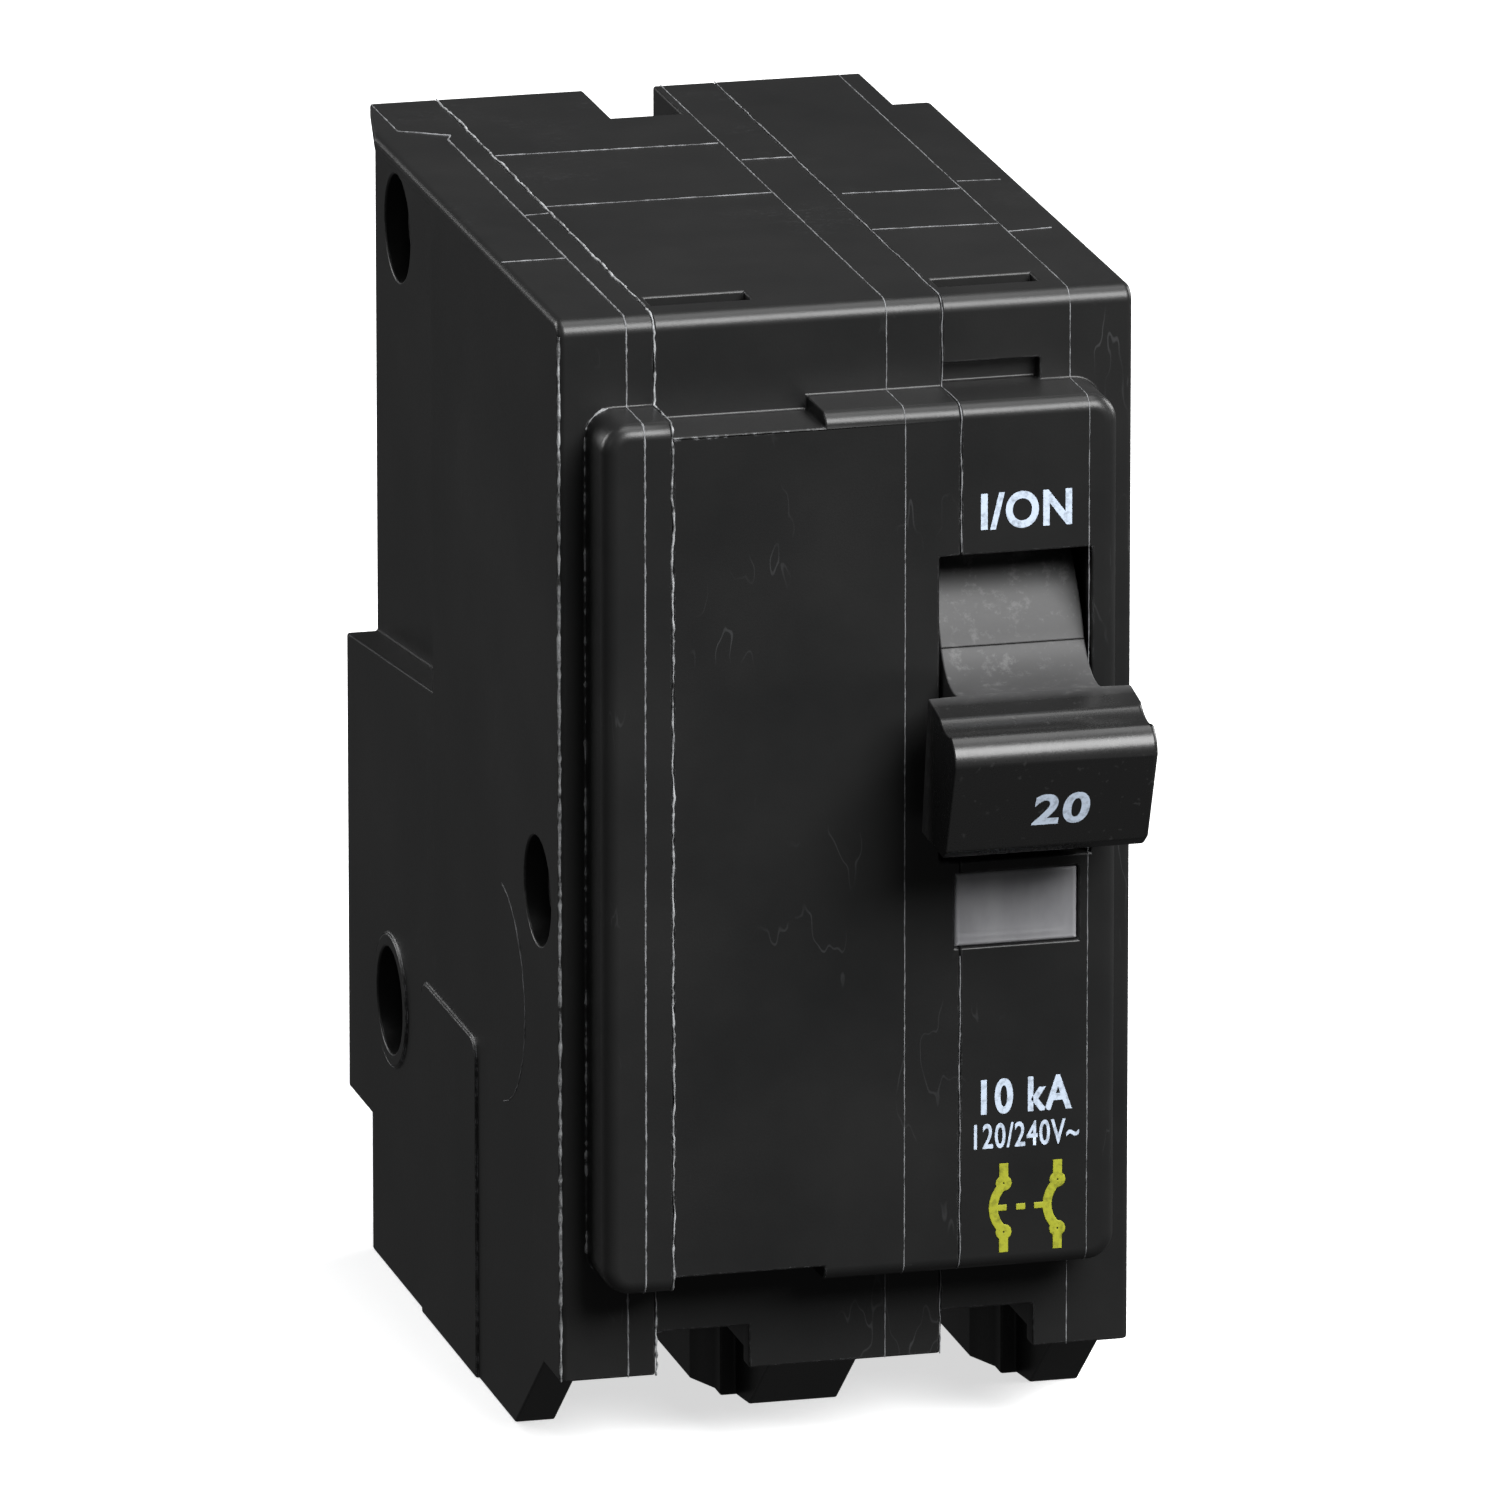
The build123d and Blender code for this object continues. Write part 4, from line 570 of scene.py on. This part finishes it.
def smoky_plastic():
    finish = Finish("smoky_window")
    frost = finish.grain(2.6 * MM, 4.0, 0.6, (1.0, 1.0, 0.5))
    # A near-white painted highlight round the window's rim.
    rim_highlight = finish.edges(0.45 * MM).above(0.04, 0.05)
    tone = finish.mix(frost.above(0.5, 0.5), (0.37, 0.37, 0.39), (0.52, 0.52, 0.54))
    tone = finish.mix(rim_highlight * 0.6, tone, (0.85, 0.85, 0.88))
    return finish.surface(Base_Color=tone, Roughness=0.28, Alpha=0.62, IOR=1.5)


def finished(nodes, material):
    """Gives CAD pieces their finish."""
    for node in nodes:
        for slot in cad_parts[node].material_slots:
            slot.material = material


finished(["indicator_lens"], smoky_plastic())

# ---------------------------------------------------------------- flag and its rocker
# The flag is a small red moulding that slides up behind the window. A brown moulded rocker on a
# steel pin lifts it when the trip bar turns.
SIDES = ("left", "right")


def moulded(name, colour, shade, roughness):
    finish = Finish(name)
    clouds = finish.grain(3 * MM, 4.0, 0.6)
    fine = finish.grain(0.15 * MM, 2.0)
    gloss = (roughness + (clouds - 0.5) * 0.2 + (fine - 0.5) * 0.1).clamp()
    tone = finish.mix(clouds.above(0.5, 0.5), shade, colour)
    return finish.surface(Base_Color=tone, Roughness=gloss, Normal=finish.bump(fine, 0.01 * MM, 0.4))


finished(["indicator_flag"], moulded("flag_red", (0.55, 0.022, 0.014), (0.40, 0.014, 0.010), 0.38))
phenolic = moulded("bar_phenolic", (0.105, 0.060, 0.028), (0.070, 0.038, 0.018), 0.45)
finished(["flag_rocker", "trip_bar"], phenolic)
finished(["inner_crank"], handle_black)

# ---------------------------------------------------------------- pins, stampings and rivets
# Pins and the tie shaft are ground steel, with fine marks round them. The cradle is hardened and
# tumbled. Armature, yoke, splitter plates and rivets are steel with a thin, cloudy zinc plate.
def metal(name, clean, dull, roughness, patch, stretch=None, marks_depth=0.004):
    """Bare metal, duller in patches, with fine marks drawn out along a stretch."""
    finish = Finish(name)
    patches = finish.grain(patch * MM, 5.0, 0.65)
    marks = finish.grain(0.14 * MM, 2.0, 0.5, stretch)
    spots = finish.grain(0.6 * MM, 3.0, 0.7).above(0.70, 0.06)
    tone = finish.mix(patches.above(0.52, 0.35), clean, dull)
    tone = finish.mix(spots * 0.4, tone, tuple(c * 0.5 for c in dull))
    gloss = (roughness + (patches - 0.5) * 0.3 + (marks - 0.5) * 0.15 + spots * 0.15).clamp()
    relief = finish.bump(marks, marks_depth * MM, 0.4)
    return finish.surface(Base_Color=tone, Metallic=1.0, Roughness=gloss, Normal=relief)


def both(*names):
    return [name + "_" + side for name in names for side in SIDES]


ROUND_X = (3.0, 0.15, 0.15)
ground_steel = metal("ground_steel", (0.62, 0.62, 0.63), (0.42, 0.41, 0.40), 0.20, 4, ROUND_X)
zinc_plate = metal("zinc_plate", (0.60, 0.61, 0.63), (0.40, 0.41, 0.43), 0.34, 2.2)
rivet_steel = metal("rivet_steel", (0.34, 0.34, 0.35), (0.16, 0.155, 0.15), 0.38, 1.5, None, 0.012)
finished(["handle_shaft", "rocker_pin"] + both("arm_pin", "cradle_pin", "armature_pin"), ground_steel)
finished(both("trip_cradle"), metal("tumbled_steel", (0.48, 0.48, 0.49), (0.30, 0.29, 0.28), 0.32, 3))
finished(both("armature", "magnet_yoke", "calibration_screw", "pressure_plate"), zinc_plate)
sheared_steel = metal("sheared_steel", (0.50, 0.50, 0.51), (0.34, 0.33, 0.33), 0.40, 5, (0.2, 3, 3))
finished(both("arc_plates"), sheared_steel)
finished(["case_rivets"], rivet_steel)

# ---------------------------------------------------------------- current path
# Contact arm and line strap are stamped copper, darkened where they were welded. Contacts are silver
# alloy buttons. The jaw and the load strap are tinned, and the bimetal is a rolled strip.
copper = metal("stamped_copper", (0.66, 0.30, 0.17), (0.34, 0.15, 0.09), 0.30, 5, (0.4, 3, 1))
tinned = metal("tinned_copper_plate", (0.62, 0.61, 0.58), (0.44, 0.42, 0.39), 0.36, 3)
finished(both("contact_arm", "line_strap"), copper)
silver = metal("silver_alloy", (0.80, 0.79, 0.76), (0.5, 0.49, 0.46), 0.28, 1)
finished(both("moving_contact", "fixed_contact"), silver)
finished(both("line_jaw", "load_strap"), tinned)
blued = metal("blued_spring", (0.20, 0.21, 0.24), (0.12, 0.11, 0.11), 0.28, 4, (1, 0.3, 2))
finished(both("jaw_spring"), blued)
rolled = metal("rolled_bimetal", (0.52, 0.49, 0.42), (0.36, 0.32, 0.26), 0.33, 6, (3, 3, 0.2))
finished(both("bimetal"), rolled)


def vulcanised_fibre():
    finish = Finish("fibre_sheet_grey")
    weave = finish.grain(0.35 * MM, 4.0, 0.7, (1.0, 1.0, 0.4))
    stain = finish.grain(5 * MM, 3.0)
    tone = finish.mix(weave, (0.17, 0.155, 0.135), (0.27, 0.25, 0.22))
    tone = finish.mix(stain.above(0.62, 0.2) * 0.6, tone, (0.07, 0.06, 0.05))
    return finish.surface(Base_Color=tone, Roughness=0.82, Normal=finish.bump(weave, 0.02 * MM, 0.5))


finished(both("arc_sheets"), vulcanised_fibre())

# ---------------------------------------------------------------- springs
# Each toggle spring is wound from spring wire and pulls between the contact arm and the cradle. Here
# it is a straight coil fixed in place, on no body. A small torsion spring brings the trip bar back.
def coil(work, wire, radius, foot, axis, length, turns):
    """A round wire section, spun about the axis while it climbs along it."""
    side = axis.orthogonal().normalized()
    section = bmesh.ops.create_circle(work, cap_ends=False, segments=8, radius=wire / 2)["verts"]
    stand = Matrix((side, axis, side.cross(axis))).transposed().to_4x4()
    stand.translation = foot + side * radius
    bmesh.ops.transform(work, matrix=stand, verts=section)
    edges = list(dict.fromkeys(edge for vert in section for edge in vert.link_edges))
    steps = round(turns * COIL_FACETS)
    bmesh.ops.spin(work, geom=edges, cent=foot, axis=axis, dvec=axis * (length / steps),
                   angle=math.tau * turns, steps=steps)


def rod(work, start, end, radius):
    """A round bar between two points."""
    run = end - start
    stand = run.to_track_quat("Z", "Y").to_matrix().to_4x4()
    stand.translation = (start + end) / 2
    bmesh.ops.create_cone(work, cap_ends=True, segments=12, radius1=radius, radius2=radius,
                          depth=run.length, matrix=stand)


def tidy_shell(work):
    """Closes the open ends and turns every face outwards."""
    bmesh.ops.holes_fill(work, edges=work.edges, sides=12)
    bmesh.ops.recalc_face_normals(work, faces=work.faces)
    for face in work.faces:
        face.smooth = len(face.verts) == 4


def centre(node):
    low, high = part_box(node)
    return (low + high) / 2


def stand_in(name, node, build, material, body):
    """A detailed piece in place of a plain CAD one; it rides on a body where one is named."""
    piece = dress(shape(name, build), material)
    if body:
        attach(piece, body)
    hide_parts(node)
    return piece


ARM_LEAN = math.radians(92.5)
SPRING_UP_ARM = 6.0 * MM
HOOK_FROM_PIN = Vector((0, -7.8, -7.0)) * MM
COIL_START, COIL_LENGTH, COIL_TURNS = 7.9 * MM, 8.5 * MM, 12.5
COIL_WIRE, COIL_RADIUS = 0.62 * MM, 1.1 * MM
TAIL_RADIUS, TAIL_LAP = 0.32 * MM, 0.4 * MM
TAIL_FROM_HOLE, TAIL_FROM_HOOK = 3.6 * MM, 1.5 * MM
RETURN_WIRE, RETURN_RADIUS, RETURN_TURNS = 0.46 * MM, 2.58 * MM, 3.25
RETURN_INSET = 0.27 * MM
COIL_FACETS = 18
spring_wire = metal("spring_wire", (0.36, 0.35, 0.35), (0.2, 0.19, 0.18), 0.26, 3)

for side in SIDES:
    arm_eye = centre("arm_pin_" + side)
    hook = centre("cradle_pin_" + side) + HOOK_FROM_PIN
    hole = arm_eye + Vector((0, math.cos(ARM_LEAN), math.sin(ARM_LEAN))) * SPRING_UP_ARM
    hook.x = hole.x = centre("toggle_spring_" + side).x
    axis = (hook - hole).normalized()

    def wound(work):
        coil_foot, coil_top = hole + axis * COIL_START, hole + axis * (COIL_START + COIL_LENGTH)
        coil(work, COIL_WIRE, COIL_RADIUS, coil_foot, axis, COIL_LENGTH, COIL_TURNS)
        rod(work, hole + axis * TAIL_FROM_HOLE, coil_foot + axis * TAIL_LAP, TAIL_RADIUS)
        rod(work, coil_top - axis * TAIL_LAP, hook - axis * TAIL_FROM_HOOK, TAIL_RADIUS)
        tidy_shell(work)

    wound_spring = stand_in("toggle_coil_" + side, "toggle_spring_" + side, wound, spring_wire, None)
    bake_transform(wound_spring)


def return_spring(work):
    low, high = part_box("trip_bar_spring")
    foot = centre("trip_bar_spring")
    foot.x = low.x + RETURN_INSET
    length = high.x - low.x - 2 * RETURN_INSET
    coil(work, RETURN_WIRE, RETURN_RADIUS, foot, Vector((1, 0, 0)), length, RETURN_TURNS)
    tidy_shell(work)


stand_in("return_coil", "trip_bar_spring", return_spring, spring_wire, "case")

# ---------------------------------------------------------------- terminal screws
# The clamp screws are zinc-plated steel, with a slotted cross head and a rolled thread down the
# shank. Each is held captive in its channel and draws the pressure plate onto the wire.
SCREW_CORE, SCREW_OUTSIDE, THREAD_PITCH = 2.02 * MM, 2.40 * MM, 0.8 * MM
HEAD_DEPTH = 2.4 * MM
THREAD_WIRE, THREAD_BITE, THREAD_INSET = 0.5 * MM, 0.26 * MM, 0.45 * MM

for side in SIDES:
    node = "terminal_screw_" + side

    def threaded(work):
        low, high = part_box(node)
        middle = centre(node)
        work.from_mesh(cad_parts[node].data)
        bmesh.ops.remove_doubles(work, verts=work.verts, dist=SAME_PLACE)
        shank = [vert for vert in work.verts if vert.co.y > low.y + HEAD_DEPTH + 0.1 * MM]
        slim = Vector((SCREW_CORE / SCREW_OUTSIDE, 1, SCREW_CORE / SCREW_OUTSIDE))
        bmesh.ops.scale(work, vec=slim, space=Matrix.Translation(-middle), verts=shank)
        for face in work.faces:
            face.smooth = False
        run = high.y - low.y - HEAD_DEPTH - 2 * THREAD_INSET
        foot = Vector((middle.x, low.y + HEAD_DEPTH + THREAD_INSET, middle.z))
        radius = SCREW_OUTSIDE - THREAD_BITE
        coil(work, THREAD_WIRE, radius, foot, Vector((0, 1, 0)), run, run / THREAD_PITCH)
        bmesh.ops.holes_fill(work, edges=work.edges, sides=12)

    stand_in("clamp_screw_" + side, node, threaded, zinc_plate, "screw_" + side)

# ---------------------------------------------------------------- flexible braids
# A short braid of fine copper strands carries the current from the moving arm to the bimetal. The
# real one hangs slack in a bend, so that the arm can swing; here it keeps its bend.
BRAID_ROUTE = ((1.2, -6.20, 64.17), (2.2, -2.0, 63.57), (3.4, 1.0, 57.67), (3.4, 2.2, 49.67),
               (3.5, 2.0, 42.17), (3.5, 3.08, 32.0), (3.5, 7.08, 32.0))
STRANDS, STRAND, BRAID_CORE = 12, 0.21 * MM, 0.50 * MM
BRAID_STEP, STRAND_WEAVE, STRAND_TWIST = 0.3 * MM, 0.09 * MM, 0.12
braid_copper = metal("braid_strands", (0.60, 0.27, 0.15), (0.38, 0.17, 0.10), 0.35, 2)


def centre_line(points):
    """Points along a smooth curve that the given points steer."""
    curve = bpy.data.curves.new("route", "CURVE")
    curve.dimensions = "3D"
    spline = curve.splines.new("NURBS")
    spline.points.add(len(points) - 1)
    for knot, point in zip(spline.points, points):
        knot.co = (*point, 1)
    spline.order_u = 3
    spline.use_endpoint_u = True
    holder = bpy.data.objects.new("route", curve)
    scene.collection.objects.link(holder)
    mesh = bpy.data.meshes.new_from_object(holder)
    bpy.data.objects.remove(holder)
    return [vert.co.copy() for vert in mesh.vertices]


for side in SIDES:
    middle_x = centre("arm_pin_" + side).x
    route = centre_line([(middle_x + x * MM, y * MM, z * MM) for x, y, z in BRAID_ROUTE])
    curve = bpy.data.curves.new("strands", "CURVE")
    curve.dimensions = "3D"
    curve.bevel_depth = STRAND / 2
    curve.bevel_resolution = 0
    path = spaced(route, BRAID_STEP)
    for strand in range(STRANDS):
        way = 1 if strand % 2 else -1
        spline = curve.splines.new("POLY")
        spline.points.add(len(path) - 1)
        for k, point in enumerate(path):
            ahead = (path[min(k + 1, len(path) - 1)] - path[max(k - 1, 0)]).normalized()
            across = ahead.cross(Vector((1, 0, 0))).normalized()
            up = ahead.cross(across)
            angle = math.tau * strand / STRANDS + way * k * STRAND_TWIST
            reach = BRAID_CORE + STRAND_WEAVE * math.sin(angle * STRANDS / 2)
            outward = across * math.cos(angle) + up * math.sin(angle)
            spline.points[k].co = (*(point + outward * reach), 1)
    holder = bpy.data.objects.new("strands", curve)
    scene.collection.objects.link(holder)
    mesh = bpy.data.meshes.new_from_object(holder)
    bpy.data.objects.remove(holder)
    braid = bpy.data.objects.new("copper_braid_" + side, mesh)
    scene.collection.objects.link(braid)
    dress(braid, braid_copper)
    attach(braid, "case")
    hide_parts("flex_braid_" + side)
